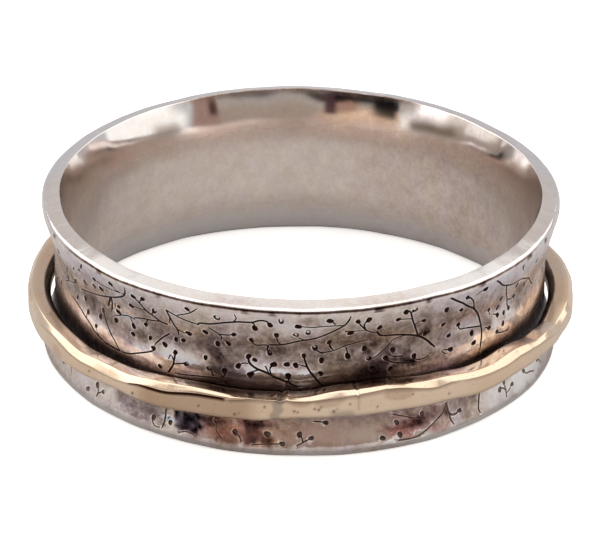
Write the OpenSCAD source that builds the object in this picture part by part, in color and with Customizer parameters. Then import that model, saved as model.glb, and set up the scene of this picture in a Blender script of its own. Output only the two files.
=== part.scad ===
// A spinner ring: a flared silver band with a loose hammered gold ring round its waist.
// The axis of the finger hole is Z. The origin is the middle of the hole, halfway up the band.
// Lengths are in millimetres and angles in degrees.

/* [Band] */
// Inside diameter of the straight part of the finger hole
bore_d = 18.2; // [15:0.1:22]
// Thickness of the band's wall
wall_t = 0.8; // [0.6:0.05:1.1]
// Width of the band between its two outer rim edges
band_w = 6.3; // [5.6:0.1:9]
// Length of the straight waist in the middle of the band
waist_w = 1.8; // [1.2:0.1:2.4]
// How far each rim stands out past the waist
flare_out = 0.5; // [0.4:0.05:0.8]
// Radius of the curve that turns the waist into the flare
flare_curve = 2.2; // [1:0.1:3]
// Height of the upright lip round each rim
lip_h = 0.26; // [0.15:0.01:0.4]
// Slope of the two end faces, which fall away towards the outside
end_slope = 13; // [5:1:18]
// Rounding of the outer edge of each rim
rim_round = 0.08; // [0.04:0.01:0.12]
// Rounding of the inner edge of the upper rim
mouth_round = 0.1; // [0.05:0.01:0.3]
// Rounding of the inner edge of the lower rim, which wear has softened more
foot_round = 0.55; // [0.1:0.05:0.6]

/* [Spinner] */
// Thickness of the spinner, from its bore to its front face
spinner_t = 0.95; // [0.7:0.05:1.2]
// Height of the spinner before the hammer's dents
spinner_h = 1; // [0.8:0.05:1.3]
// Running gap between the waist and the spinner, all round
running_gap = 0.18; // [0.12:0.01:0.25]
// How far the spinner has slid down from the middle of the band
spinner_drop = 0.86; // [0:0.02:1]
// Width of the bevel along the top outer edge of the spinner
bevel_w = 0.18; // [0.1:0.01:0.3]
// Width of the bevel along the bottom outer edge of the spinner
foot_bevel = 0.14; // [0.08:0.01:0.2]
// Width of the bevels at both ends of the spinner's bore
bore_bevel = 0.25; // [0.15:0.01:0.3]

/* [Hidden] */

// Sides of a turned surface, steps of a profile's curve, and steps from one dent to the next
$fn = 72;
CURVE_STEPS = 5;
DENT_STEPS = 2;

// Radii of the band, and heights above its middle
bore_r = bore_d / 2;
waist_r = bore_r + wall_t;
rim_r = waist_r + flare_out;
waist_z = waist_w / 2;
rim_z = band_w / 2;
lip_z = rim_z - lip_h;

// The outer line runs up the waist, round the flare's curve and straight on to the lip.
// The curve's centre lies outside the band, and the curve is limited by the room for it.
flare_z = lip_z - waist_z;
curve_limit = 0.9 * (flare_out * flare_out + flare_z * flare_z) / (2 * flare_out);
curve_r = min(flare_curve, curve_limit);
curve_c = [waist_r + curve_r, waist_z];
to_lip = [curve_r - flare_out, flare_z];
flare_angle = atan2(to_lip[1], to_lip[0]) - acos(curve_r / norm(to_lip));

// Radii of the spinner, and of the solid ring that it is bored from
spinner_bore_r = waist_r + running_gap;
spinner_r = spinner_bore_r + spinner_t;
blank_r = spinner_bore_r - 0.1;

// The spinner's dents, a row for every 10 degrees of the turn, from the left side by the
// front, the right side and the back.
// TOP and FOOT lift the top face and the underside, and BEVEL is the drop of the bevelled edge,
// all as shares of the height. FACE pushes the front face out, as a share of the thickness.
TOP = 0;
BEVEL = 1;
FOOT = 2;
FACE = 3;
DENTS = [
    [-0.26, 0.18, -0.24, -0.04], [-0.22, 0.20, -0.28, 0.00], [-0.20, 0.22, -0.28, 0.02],
    [-0.14, 0.24, -0.24, 0.01], [-0.20, 0.22, -0.16, 0.00], [-0.18, 0.28, -0.06, 0.03],
    [-0.10, 0.22, -0.18, 0.02], [0.00, 0.07, -0.11, -0.02], [-0.02, 0.04, -0.04, 0.00],
    [0.04, 0.04, 0.14, 0.00], [0.30, 0.06, 0.15, 0.03], [0.33, 0.05, 0.17, 0.02],
    [0.14, 0.17, 0.08, 0.00], [-0.02, 0.10, -0.05, 0.03], [0.03, 0.21, 0.02, 0.05],
    [-0.14, 0.16, 0.04, 0.04], [-0.26, 0.16, -0.09, 0.06], [-0.22, 0.22, -0.16, 0.07],
    [-0.24, 0.18, -0.18, 0.04], [-0.34, 0.14, -0.26, -0.02], [-0.42, 0.10, -0.32, -0.08],
    [-0.44, 0.14, -0.36, -0.10], [-0.36, 0.18, -0.34, -0.08], [-0.28, 0.12, -0.28, -0.06],
    [-0.26, 0.08, -0.24, -0.10], [-0.32, 0.14, -0.28, -0.06], [-0.38, 0.20, -0.34, -0.04],
    [-0.32, 0.22, -0.36, -0.08], [-0.24, 0.16, -0.30, -0.10], [-0.26, 0.10, -0.26, -0.06],
    [-0.34, 0.12, -0.30, -0.04], [-0.40, 0.18, -0.34, -0.08], [-0.36, 0.22, -0.36, -0.10],
    [-0.32, 0.18, -0.32, -0.08], [-0.36, 0.12, -0.30, -0.04], [-0.32, 0.16, -0.28, -0.01]
];
FIRST_DENT = 180;
DENT_COUNT = len(DENTS);

// The spinner's middle. At its deepest dent, the lower edge of its bore stays above the height
// where the flare, which is widening, would leave it less than half of its running gap.
deepest_foot = 0.5 - min([for (row = DENTS) row[FOOT]]);
half_gap = running_gap / 2;
half_gap_z = waist_z + sqrt(2 * curve_r * half_gap - half_gap * half_gap);
lowest_z = deepest_foot * spinner_h - bore_bevel - half_gap_z;
spinner_z = max(-spinner_drop, lowest_z);

// The point where the line through p along u meets the line through q along v
function meet(p, u, q, v) = p + u * cross(q - p, v) / cross(u, v);

// The points of an arc about c, from angle a to angle b
function arc(c, r, a, b) = [
    for (i = [0:CURVE_STEPS])
        let (angle = a + (b - a) * i / CURVE_STEPS)
        c + r * [cos(angle), sin(angle)]
];

// The points that round the corner at b, between the lines to a and c, with radius r
function rounded(a, b, c, r) =
    let (u = (a - b) / norm(a - b))
    let (v = (c - b) / norm(c - b))
    let (half = acos(u * v) / 2)
    let (m = (u + v) / norm(u + v))
    let (centre = b + m * r / sin(half))
    let (middle = atan2(-m[1], -m[0]))
    let (side = cross(u, v) > 0 ? 1 : -1)
    arc(centre, r, middle + side * (90 - half), middle - side * (90 - half));

// The upper half of the band's section, from the waist out to the rim and back to the bore,
// with the inner edge of the rim rounded by inner_round
function half_section(inner_round) =
    let (up = [sin(flare_angle), cos(flare_angle)])
    let (outer_arc = arc(curve_c, curve_r, 180, 180 - flare_angle))
    let (inner_arc = arc(curve_c, curve_r + wall_t, 180 - flare_angle, 180))
    let (lip_foot = [rim_r, lip_z])
    let (rim_edge = [rim_r, rim_z])
    let (end_face = [-cos(end_slope), sin(end_slope)])
    let (inner_edge = meet(rim_edge, end_face, inner_arc[0], up))
    concat(
        outer_arc,
        [lip_foot],
        rounded(lip_foot, rim_edge, inner_edge, min(rim_round, lip_h / 2)),
        rounded(rim_edge, inner_edge, inner_arc[0], min(inner_round, wall_t * 0.75)),
        inner_arc
    );

// The same points below the middle of the band, in the opposite order
function below(points) = [
    for (i = [len(points) - 1:-1:0])
        [points[i][0], -points[i][1]]
];

// One column of the dents at a part of a turn, eased from each row to the next
function dent(turn, column) =
    let (place = turn * DENT_COUNT)
    let (row = floor(place))
    let (ease = (1 - cos(180 * (place - row))) / 2)
    DENTS[row % DENT_COUNT][column] * (1 - ease) + DENTS[(row + 1) % DENT_COUNT][column] * ease;

// The spinner's section at a part of a turn, as radius and height, from its bore's foot
// by the underside, the front face, the bevel and the top back to the bore.
// Its first and last points lie inside the bore, which is cut afterwards.
function spinner_section(turn) =
    let (top = spinner_z + spinner_h * (0.5 + dent(turn, TOP)))
    let (ridge = top - spinner_h * dent(turn, BEVEL))
    let (foot = spinner_z - spinner_h * (0.5 - dent(turn, FOOT)))
    let (face = spinner_r + spinner_t * dent(turn, FACE))
    let (rise = spinner_bore_r + bore_bevel - blank_r)
    [
        [blank_r, foot + rise],
        [spinner_bore_r + bore_bevel, foot],
        [face - foot_bevel, foot],
        [face, foot + foot_bevel],
        [face, ridge],
        [face - bevel_w, top],
        [spinner_bore_r + bore_bevel, top],
        [blank_r, top - rise]
    ];

// A closed ring through sections that are turned about the Z axis
module swept_ring(steps) {
    sections = [for (i = [0:steps - 1]) spinner_section(i / steps)];
    corners = len(sections[0]);
    points = [
        for (i = [0:steps - 1], p = sections[i])
            let (angle = FIRST_DENT + 360 * i / steps)
            [p[0] * cos(angle), p[0] * sin(angle), p[1]]
    ];
    faces = [
        for (i = [0:steps - 1], k = [0:corners - 1])
            let (here = i * corners)
            let (next = ((i + 1) % steps) * corners)
            let (k2 = (k + 1) % corners)
            for (face = [[here + k, here + k2, next + k2], [here + k, next + k2, next + k]])
                face
    ];
    polyhedron(points, faces);
}

// The flared band, turned in one piece
module band() {
    color("silver")
        rotate_extrude()
            polygon(concat(half_section(mouth_round), below(half_section(foot_round))));
}

// The hammered ring, soldered shut and bored round, loose on the waist
module spinner() {
    color("goldenrod")
        difference() {
            swept_ring(DENT_COUNT * DENT_STEPS);
            cylinder(h = 4 * spinner_h, r = spinner_bore_r, center = true);
        }
}

band();
spinner();
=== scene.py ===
"""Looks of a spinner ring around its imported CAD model.

The ring is a flared silver band, engraved all round with berry vines, and a loose hammered gold
ring that turns on the band's waist. The axis of the finger hole is Z, and the camera looks
along +Y. Sizes are in millimetres and angles in degrees, and a mesh is scaled to metres when it
is made. Angle -90 is the front of the ring, 0 its right side and 180 its left side.
"""

import logging
import math
import random
from dataclasses import dataclass, field
from enum import Enum

import bpy
import numpy as np
from bpy.types import Material, Node, NodeSocket, NodeTree, Object, World
from mathutils import Matrix, Vector
from mathutils.geometry import delaunay_2d_cdt
from mathutils.noise import noise


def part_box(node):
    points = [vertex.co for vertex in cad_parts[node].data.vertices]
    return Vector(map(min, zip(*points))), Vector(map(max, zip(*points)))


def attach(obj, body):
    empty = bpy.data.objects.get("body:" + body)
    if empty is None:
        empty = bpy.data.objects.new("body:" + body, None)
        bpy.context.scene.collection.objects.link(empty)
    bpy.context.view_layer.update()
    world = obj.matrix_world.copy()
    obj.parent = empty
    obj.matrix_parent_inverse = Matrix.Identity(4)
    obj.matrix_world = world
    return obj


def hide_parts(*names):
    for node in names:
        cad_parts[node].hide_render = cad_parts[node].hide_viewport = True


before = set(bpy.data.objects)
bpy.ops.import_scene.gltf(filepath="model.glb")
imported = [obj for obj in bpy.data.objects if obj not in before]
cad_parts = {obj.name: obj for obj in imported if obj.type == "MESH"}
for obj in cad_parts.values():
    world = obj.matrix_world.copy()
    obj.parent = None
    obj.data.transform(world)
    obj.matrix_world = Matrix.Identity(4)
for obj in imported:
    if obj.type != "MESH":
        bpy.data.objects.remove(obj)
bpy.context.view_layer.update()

LOG = logging.getLogger("spinner_ring")
MM = 0.001
FRONT = -90.0
# The angle at the back of the ring where rows of places begin.
BACK = -270.0
# Places nearer to each other than this count as one.
TOUCH = 1e-4
Array = np.ndarray
Point = tuple[float, float]
Colour = tuple[float, float, float, float]


class Body(Enum):
    """A CAD body that a piece rides on."""

    BAND = "band"
    SPINNER = "spinner"


class Slot(Enum):
    """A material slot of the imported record."""

    SILVER = "silver"
    GOLD = "gold"


class Rays(Enum):
    """The kinds of ray that see a piece of the studio."""

    CAMERA = ("camera",)
    REFLECTED = ("glossy",)
    ALL_BUT_CAMERA = ("diffuse", "glossy", "shadow")


def linear(hex_colour: str) -> Colour:
    """Turns an sRGB hex colour to linear red, green and blue, with an alpha of one."""
    parts = [int(hex_colour[i:i + 2], 16) / 255 for i in (1, 3, 5)]
    red, green, blue = (c / 12.92 if c <= 0.04045 else ((c + 0.055) / 1.055) ** 2.4 for c in parts)
    return red, green, blue, 1.0


def smooth_step(x: Array | float, low: Array | float, high: Array | float) -> Array | float:
    """Rises smoothly from 0 at low to 1 at high; low may be the larger one."""
    t = np.clip((np.asarray(x, float) - low) / (high - low), 0.0, 1.0)
    return t * t * (3 - 2 * t)


def swell(x: Array, middle: float, width: float) -> Array:
    """Swells smoothly from 0 to 1 and back, with 1 at the middle."""
    return np.exp(-((x - middle) / width) ** 2)


def apart(angle: Array, other: float) -> Array:
    """Degrees between an angle and another one, by the shorter way round."""
    return np.abs((angle - other + 180) % 360 - 180)


def set_inputs(node: Node, sockets: dict) -> None:
    """Sets or links a node's inputs.

    Args:
        node: A node of some tree.
        sockets: Input name or number to a value, to the output socket that is linked to it, or to
            the node whose first output is.
    """
    for name, value in sockets.items():
        if isinstance(value, Node):
            value = value.outputs[0]
        if isinstance(value, NodeSocket):
            node.id_data.links.new(value, node.inputs[name])
        else:
            node.inputs[name].default_value = value


def add_node(tree: NodeTree, kind: str, sockets: dict | None = None, **settings) -> Node:
    """Adds a node with its settings and links.

    Args:
        tree: The node tree that gets the node.
        kind: The node's type.
        sockets: What its inputs get, as in set_inputs.
        **settings: Properties of the node itself.

    Returns:
        The new node.
    """
    node = tree.nodes.new(kind)
    for name, value in settings.items():
        setattr(node, name, value)
    set_inputs(node, sockets or {})
    return node


def tinted(tree: NodeTree, colour: NodeSocket, tint: str, share: NodeSocket | Node) -> NodeSocket:
    """Multiplies a colour by an sRGB tint, as far as a share from 0 to 1 says."""
    # A Mix node's colour inputs share their names with its other kinds, so they go by number.
    sockets = {0: share, 6: colour, 7: linear(tint)}
    return add_node(tree, "ShaderNodeMix", sockets, data_type="RGBA", blend_type="MULTIPLY").outputs[2]


def empty_tree(owner: Material | World) -> NodeTree:
    """Gives a material or a world a node tree with nothing in it."""
    owner.use_nodes = True
    owner.node_tree.nodes.clear()
    return owner.node_tree


def new_material(
    name: str, ramp_stops: tuple = ()
) -> tuple[Material, NodeTree, Node, Node | None]:
    """Starts a material with a shader and its output.

    Args:
        name: The material's name.
        ramp_stops: Pairs of place and hex colour for a ColorRamp, or nothing for no ramp.

    Returns:
        The material, its tree, its Principled BSDF, and the ramp or None.
    """
    material = bpy.data.materials.new(name)
    tree = empty_tree(material)
    shader = add_node(tree, "ShaderNodeBsdfPrincipled")
    add_node(tree, "ShaderNodeOutputMaterial", {"Surface": shader})
    ramp = None
    if ramp_stops:
        ramp = add_node(tree, "ShaderNodeValToRGB")
        stops = ramp.color_ramp.elements
        while len(stops) < len(ramp_stops):
            stops.new(0.5)
        for stop, (place, colour) in zip(stops, ramp_stops):
            stop.position = place
            stop.color = linear(colour)
    return material, tree, shader, ramp


def mesh_object(
    name: str,
    points: Array,
    faces: list,
    materials: list[Material],
    face_materials: Array | None = None,
    values: dict[str, Array] | None = None,
) -> Object:
    """Makes a smooth-shaded mesh object.

    Args:
        name: The object's name.
        points: One row per vertex, in millimetres.
        faces: Vertex numbers of each face.
        materials: The object's material slots.
        face_materials: The slot of each face, or None for the first one.
        values: Named numbers for each vertex, for the materials.

    Returns:
        The object, linked to the scene.
    """
    mesh = bpy.data.meshes.new(name)
    mesh.from_pydata((points * MM).tolist(), [], faces)
    for material in materials:
        mesh.materials.append(material)
    if face_materials is not None:
        mesh.polygons.foreach_set("material_index", face_materials.astype(np.int32))
    mesh.polygons.foreach_set("use_smooth", np.ones(len(mesh.polygons), bool))
    for key, numbers in (values or {}).items():
        attribute = mesh.attributes.new(key, "FLOAT", "POINT")
        attribute.data.foreach_set("value", np.asarray(numbers, np.float32))
    mesh.update()
    mesh.validate()
    piece = bpy.data.objects.new(name, mesh)
    bpy.context.scene.collection.objects.link(piece)
    return piece


def report(piece: Object) -> None:
    """Logs a piece's name and its number of triangles."""
    triangles = sum(len(face.vertices) - 2 for face in piece.data.polygons)
    LOG.info("%s: %d triangles", piece.name, triangles)


@dataclass(frozen=True)
class TarnishedSilver:
    """Sterling silver, turned, polished and worn, with tarnish that worn places have lost.

    The polish gives broad soft reflections, and the tarnish lays pink, olive and grey clouds over them,
    darkest towards the waist, where no finger rubs it off. The values it reads also carry painted shade,
    painted highlights and painted reflections.
    """

    name: str = "sterling_silver_polished_tarnished"
    stops: tuple = (
        (0.00, "#F5F3F1"),
        (0.22, "#DACFCB"),
        (0.42, "#B3A5A0"),
        (0.60, "#897B74"),
        (0.78, "#5B4D4B"),
        (1.00, "#181315"),
    )
    # Size in millimetres and strength of each layer of clouds.
    cloud_layers: tuple = ((2.6, 0.4), (0.55, 0.6), (0.16, 0.5))
    # Share of the clouds that clean metal shows, and the level of tarnish and painted shade from which all of
    # them show.
    clean_share: float = 0.02
    cloudy_level: float = 0.3
    # How much tarnish a burnished edge has lost, which also paints the berries' burr highlight.
    burnish_and_highlight: float = 0.6
    hue_mm: float = 1.3
    dent_mm: float = 0.7
    grain_mm: float = 0.09
    olive: str = "#FFFAEF"
    violet: str = "#F8F1F5"
    fire_stain: str = "#FFCBC8"
    blued: str = "#C9DAFF"
    sanded: str = "#FFFEF9"
    polished_roughness: float = 0.06
    tarnished_roughness: float = 0.42
    satin_roughness: float = 0.2
    dent_depth_mm: float = 0.02
    grain_depth_mm: float = 0.0012

    def material(self) -> Material:
        """Builds the node material.

        Returns:
            A material that reads six vertex values: tarnish with painted shade, polish with painted
                highlight, blush, cold, satin and handled.
        """
        material, tree, shader, ramp = new_material(self.name, self.stops)
        place = add_node(tree, "ShaderNodeTexCoord").outputs["Object"]
        tarnish_and_shade, polish_and_highlight, blush, cold, satin, handled = (
            add_node(tree, "ShaderNodeAttribute", attribute_name=key).outputs["Fac"]
            for key in ("tarnish_and_shade", "polish_and_highlight", "blush", "cold", "satin", "handled")
        )
        *clouds, hues, dents, grains = (
            add_node(
                tree,
                "ShaderNodeTexNoise",
                {"Vector": place, "Scale": 1 / (size * MM), "Detail": 3.0, "Roughness": 0.55},
            )
            for size in (*(size for size, _ in self.cloud_layers), self.hue_mm, self.dent_mm, self.grain_mm)
        )
        total = -0.5 * sum(strength for _, strength in self.cloud_layers)
        for cloud, (_, strength) in zip(clouds, self.cloud_layers):
            sockets = {0: cloud, 1: strength, 2: total}
            total = add_node(tree, "ShaderNodeMath", sockets, operation="MULTIPLY_ADD")
        # Tarnish clouds fade where tarnish and painted shade are none, so that the polished parts stay clean.
        sockets = {"Value": tarnish_and_shade, "From Max": self.cloudy_level, "To Min": self.clean_share}
        share = add_node(tree, "ShaderNodeMapRange", sockets)
        spread = add_node(tree, "ShaderNodeMath", {0: total, 1: share, 2: tarnish_and_shade}, operation="MULTIPLY_ADD")
        sockets = {0: polish_and_highlight, 1: -self.burnish_and_highlight, 2: spread}
        tarnish = add_node(tree, "ShaderNodeMath", sockets, operation="MULTIPLY_ADD", use_clamp=True)
        set_inputs(ramp, {"Fac": tarnish})
        hue = add_node(tree, "ShaderNodeMapRange", {"Value": hues, "From Min": 0.4, "From Max": 0.6})
        warm = add_node(tree, "ShaderNodeMath", {0: share, 1: hue}, operation="MULTIPLY")
        cool = add_node(tree, "ShaderNodeMath", {0: share, 1: warm}, operation="SUBTRACT")
        colour = ramp.outputs["Color"]
        for tint, amount in (
            (self.olive, warm),
            (self.violet, cool),
            (self.fire_stain, blush),
            (self.blued, cold),
            (self.sanded, satin),
        ):
            colour = tinted(tree, colour, tint, amount)
        sockets = {"Value": tarnish, "To Min": self.polished_roughness, "To Max": self.tarnished_roughness}
        rough = add_node(tree, "ShaderNodeMapRange", sockets)
        # The sanded bore and the thick black are satin, so they blur what they reflect.
        sockets = {0: satin, 1: self.satin_roughness, 2: rough}
        blurred = add_node(tree, "ShaderNodeMath", sockets, operation="MULTIPLY_ADD")
        normal = {}
        for height, depth in ((dents, self.dent_depth_mm), (grains, self.grain_depth_mm)):
            sockets = {"Height": height, "Strength": handled, "Distance": depth * MM, **normal}
            normal = {"Normal": add_node(tree, "ShaderNodeBump", sockets)}
        set_inputs(shader, {"Base Color": colour, "Roughness": blurred, "Metallic": 1.0, **normal})
        return material


@dataclass(frozen=True)
class BlackenedRecess:
    """Silver sulphide left in the engraving by a dip and a wipe, which makes its lines read black."""

    name: str = "silver_sulphide_in_engraving"
    colour: str = "#2E1F1D"
    worn_colour: str = "#86756D"
    roughness: float = 0.5
    speck_mm: float = 0.16
    speck_strength: float = 0.8

    def material(self) -> Material:
        """Builds the node material.

        Returns:
            A material that reads the vertex value worn.
        """
        stops = ((0.5, self.colour), (1.0, self.worn_colour))
        material, tree, shader, ramp = new_material(self.name, stops)
        place = add_node(tree, "ShaderNodeTexCoord").outputs["Object"]
        worn = add_node(tree, "ShaderNodeAttribute", attribute_name="worn").outputs["Fac"]
        specks = add_node(tree, "ShaderNodeTexNoise", {"Vector": place, "Scale": 1 / (self.speck_mm * MM)})
        sockets = {0: specks, 1: self.speck_strength, 2: worn}
        share = add_node(tree, "ShaderNodeMath", sockets, operation="MULTIPLY_ADD")
        set_inputs(ramp, {"Fac": share})
        set_inputs(shader, {"Base Color": ramp, "Roughness": self.roughness, "Metallic": 1.0})
        return material


@dataclass(frozen=True)
class HammeredGold:
    """Yellow gold, hammered and lightly polished, with the paler solder of its joint.

    The polish gives warm broad highlights, and the hammer leaves soft facets and small pits.
    """

    name: str = "yellow_gold_hammered"
    colour: str = "#F0D9C0"
    worn_colour: str = "#E9CDB1"
    solder_colour: str = "#BDAB98"
    pit_and_shade_colour: str = "#3A2218"
    speck_colour: str = "#CDB298"
    painted_shade_colour: str = "#D8CFC8"
    cloud_mm: float = 1.6
    grain_mm: float = 0.12
    speck_mm: float = 0.11
    roughness: float = 0.19
    solder_roughness: float = 0.3
    dent_depth_mm: float = 0.012
    grain_depth_mm: float = 0.001

    def material(self) -> Material:
        """Builds the node material.

        Returns:
            A material that reads three vertex values: the solder, painted shade of the front face, and the
            pits with painted shade of the fold and the gap.
        """
        stops = ((0.3, self.colour), (0.7, self.worn_colour))
        material, tree, shader, ramp = new_material(self.name, stops)
        place = add_node(tree, "ShaderNodeTexCoord").outputs["Object"]
        solder, painted_shade, pit_and_shade = (
            add_node(tree, "ShaderNodeAttribute", attribute_name=key).outputs["Fac"]
            for key in ("solder", "painted_shade", "pit_and_shade")
        )
        clouds, grains, specks = (
            add_node(
                tree,
                "ShaderNodeTexNoise",
                {"Vector": place, "Scale": 1 / (size * MM), "Detail": detail, "Roughness": rough},
            )
            for size, detail, rough in (
                (self.cloud_mm, 3.0, 0.5),
                (self.grain_mm, 3.0, 0.5),
                (self.speck_mm, 2.0, 0.6),
            )
        )
        set_inputs(ramp, {"Fac": clouds})
        sockets = {"Value": specks, "From Min": 0.62, "From Max": 0.85}
        speckled = add_node(tree, "ShaderNodeMapRange", sockets)
        gold = tinted(tree, ramp.outputs["Color"], self.speck_colour, speckled)
        sockets = {0: solder, 6: gold, 7: linear(self.solder_colour)}
        colour = add_node(tree, "ShaderNodeMix", sockets, data_type="RGBA").outputs[2]
        # Painted shade: these dark tints stand in for the shade of the flats, the fold and the gap, as well
        # as the pits.
        for tint, amount in ((self.painted_shade_colour, painted_shade), (self.pit_and_shade_colour, pit_and_shade)):
            colour = tinted(tree, colour, tint, amount)
        sockets = {"Value": solder, "To Min": self.roughness, "To Max": self.solder_roughness}
        rough = add_node(tree, "ShaderNodeMapRange", sockets)
        normal = {}
        for height, depth in ((clouds, self.dent_depth_mm), (grains, self.grain_depth_mm)):
            sockets = {"Height": height, "Distance": depth * MM, **normal}
            normal = {"Normal": add_node(tree, "ShaderNodeBump", sockets)}
        set_inputs(shader, {"Base Color": colour, "Roughness": rough, "Metallic": 1.0, **normal})
        return material


@dataclass
class BandProfile:
    """The band's section, as radius and height. The outer wall is also measured along its line."""

    bore_r: float = 9.1
    wall: float = 0.8
    waist_half: float = 0.9
    flare_out: float = 0.5
    curve_r: float = 2.2
    flare_angle: float = 16.694
    lip_z: float = 2.89
    rim_z: float = 3.15
    end_slope: float = 13.0
    rim_round: float = 0.22
    mouth_round: float = 0.05
    foot_round: float = 0.5
    # The power of the curve by which the inner flare opens.
    trumpet: float = 2.5
    flat_r: float = 10.0

    def __post_init__(self) -> None:
        """Works out the lengths that follow from the fields."""
        self.waist_r = self.bore_r + self.wall
        self.rim_r = self.waist_r + self.flare_out
        self.turn = math.radians(self.flare_angle)
        self.arc_end = self.waist_half + self.curve_r * self.turn
        arc_z = self.waist_half + self.curve_r * math.sin(self.turn)
        self.wall_half = self.arc_end + (self.lip_z - arc_z) / math.cos(self.turn)
        self.length = 2 * math.pi * self.flat_r

    def tilt(self, along: Array) -> Array:
        """How far the outer wall leans outwards at places along its line, in radians."""
        return np.clip((np.abs(along) - self.waist_half) / self.curve_r, 0, self.turn)

    def outer(self, along: Array) -> tuple[Array, Array]:
        """Radius and height of places on the outer wall.

        Args:
            along: Distances along the wall's line from the middle of the waist, up or down.

        Returns:
            Radii and heights.
        """
        far = np.abs(along)
        bend = self.tilt(along)
        past = np.clip(far - self.arc_end, 0, None)
        radius = self.waist_r + self.curve_r * (1 - np.cos(bend)) + past * math.sin(self.turn)
        height = np.minimum(far, self.waist_half) + self.curve_r * np.sin(bend) + past * math.cos(self.turn)
        return radius, np.sign(along) * height

    def inner_half(self, inner_round: float) -> list[Point]:
        """Points from just above the lip's foot over the upper rim to the middle of the bore.

        Args:
            inner_round: Radius that rounds the inner edge of the rim.

        Returns:
            Radius and height of each point.
        """
        slope = math.radians(self.end_slope)
        face_normal = np.array([math.sin(slope), math.cos(slope)])
        cone_normal = np.array([-math.cos(self.turn), math.sin(self.turn)])
        rim_edge = np.array([self.rim_r, self.rim_z])
        centre_r = self.waist_r + self.curve_r
        inner_r = self.curve_r + self.wall
        arc_top = np.array(
            [centre_r - inner_r * math.cos(self.turn), self.waist_half + inner_r * math.sin(self.turn)]
        )
        # The corner where the end face meets the inner cone.
        corner = np.linalg.solve(
            np.array([face_normal, cone_normal]), [face_normal @ rim_edge, cone_normal @ arc_top]
        )
        points = [(self.rim_r, self.lip_z + 0.03)]
        points += self.rounded(rim_edge, np.array([1.0, 0.0]), face_normal, self.rim_round, 11)
        rim_start = np.array(points[-1])
        inner_arc = self.rounded(corner, face_normal, cone_normal, inner_round, 9)
        for share in (0.33, 0.67):
            points.append(tuple(rim_start + share * (np.array(inner_arc[0]) - rim_start)))
        points += inner_arc
        # The flare opens like a trumpet: steepest at the rim, upright where the bore begins.
        top_r, top_z = inner_arc[-1]
        power = self.trumpet
        for down in np.linspace(0, 1, 13)[1:]:
            opened = 1 - (down - down**power / power) / (1 - 1 / power)
            points.append(
                (self.bore_r + (top_r - self.bore_r) * opened, top_z + (self.waist_half - top_z) * down)
            )
        return points + [(self.bore_r, self.waist_half * share) for share in (0.67, 0.33)]

    @staticmethod
    def rounded(corner: Array, first: Array, second: Array, radius: float, steps: int) -> list[Point]:
        """Rounds a convex corner between two faces.

        Args:
            corner: Where the faces meet.
            first: Outward normal of the face before the corner.
            second: Outward normal of the face after it.
            radius: Radius of the rounding.
            steps: Number of points.

        Returns:
            The points of the arc.
        """
        centre = corner - radius * (first + second) / (1 + first @ second)
        start, end = (math.atan2(n[1], n[0]) for n in (first, second))
        return [
            (centre[0] + radius * math.cos(a), centre[1] + radius * math.sin(a))
            for a in np.linspace(start, end, steps)
        ]


@dataclass
class Stem:
    """A twig of the vine on the flattened wall."""

    line: Array
    half: Array


@dataclass
class Berry:
    """A berry of the vine on the flattened wall."""

    centre: Array
    size: float
    phases: tuple[float, float, float]
    hollow: bool
    # How far it is from round, with one, two and three lobes.
    lobes: tuple[float, float, float] = (0.2, 0.15, 0.1)

    def radius(self, angle: Array) -> Array:
        """Distance from the centre to the outline in each direction."""
        waves = enumerate(zip(self.lobes, self.phases), start=1)
        return self.size / 2 * (1 + sum(share * np.cos(k * angle - phase) for k, (share, phase) in waves))


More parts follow.
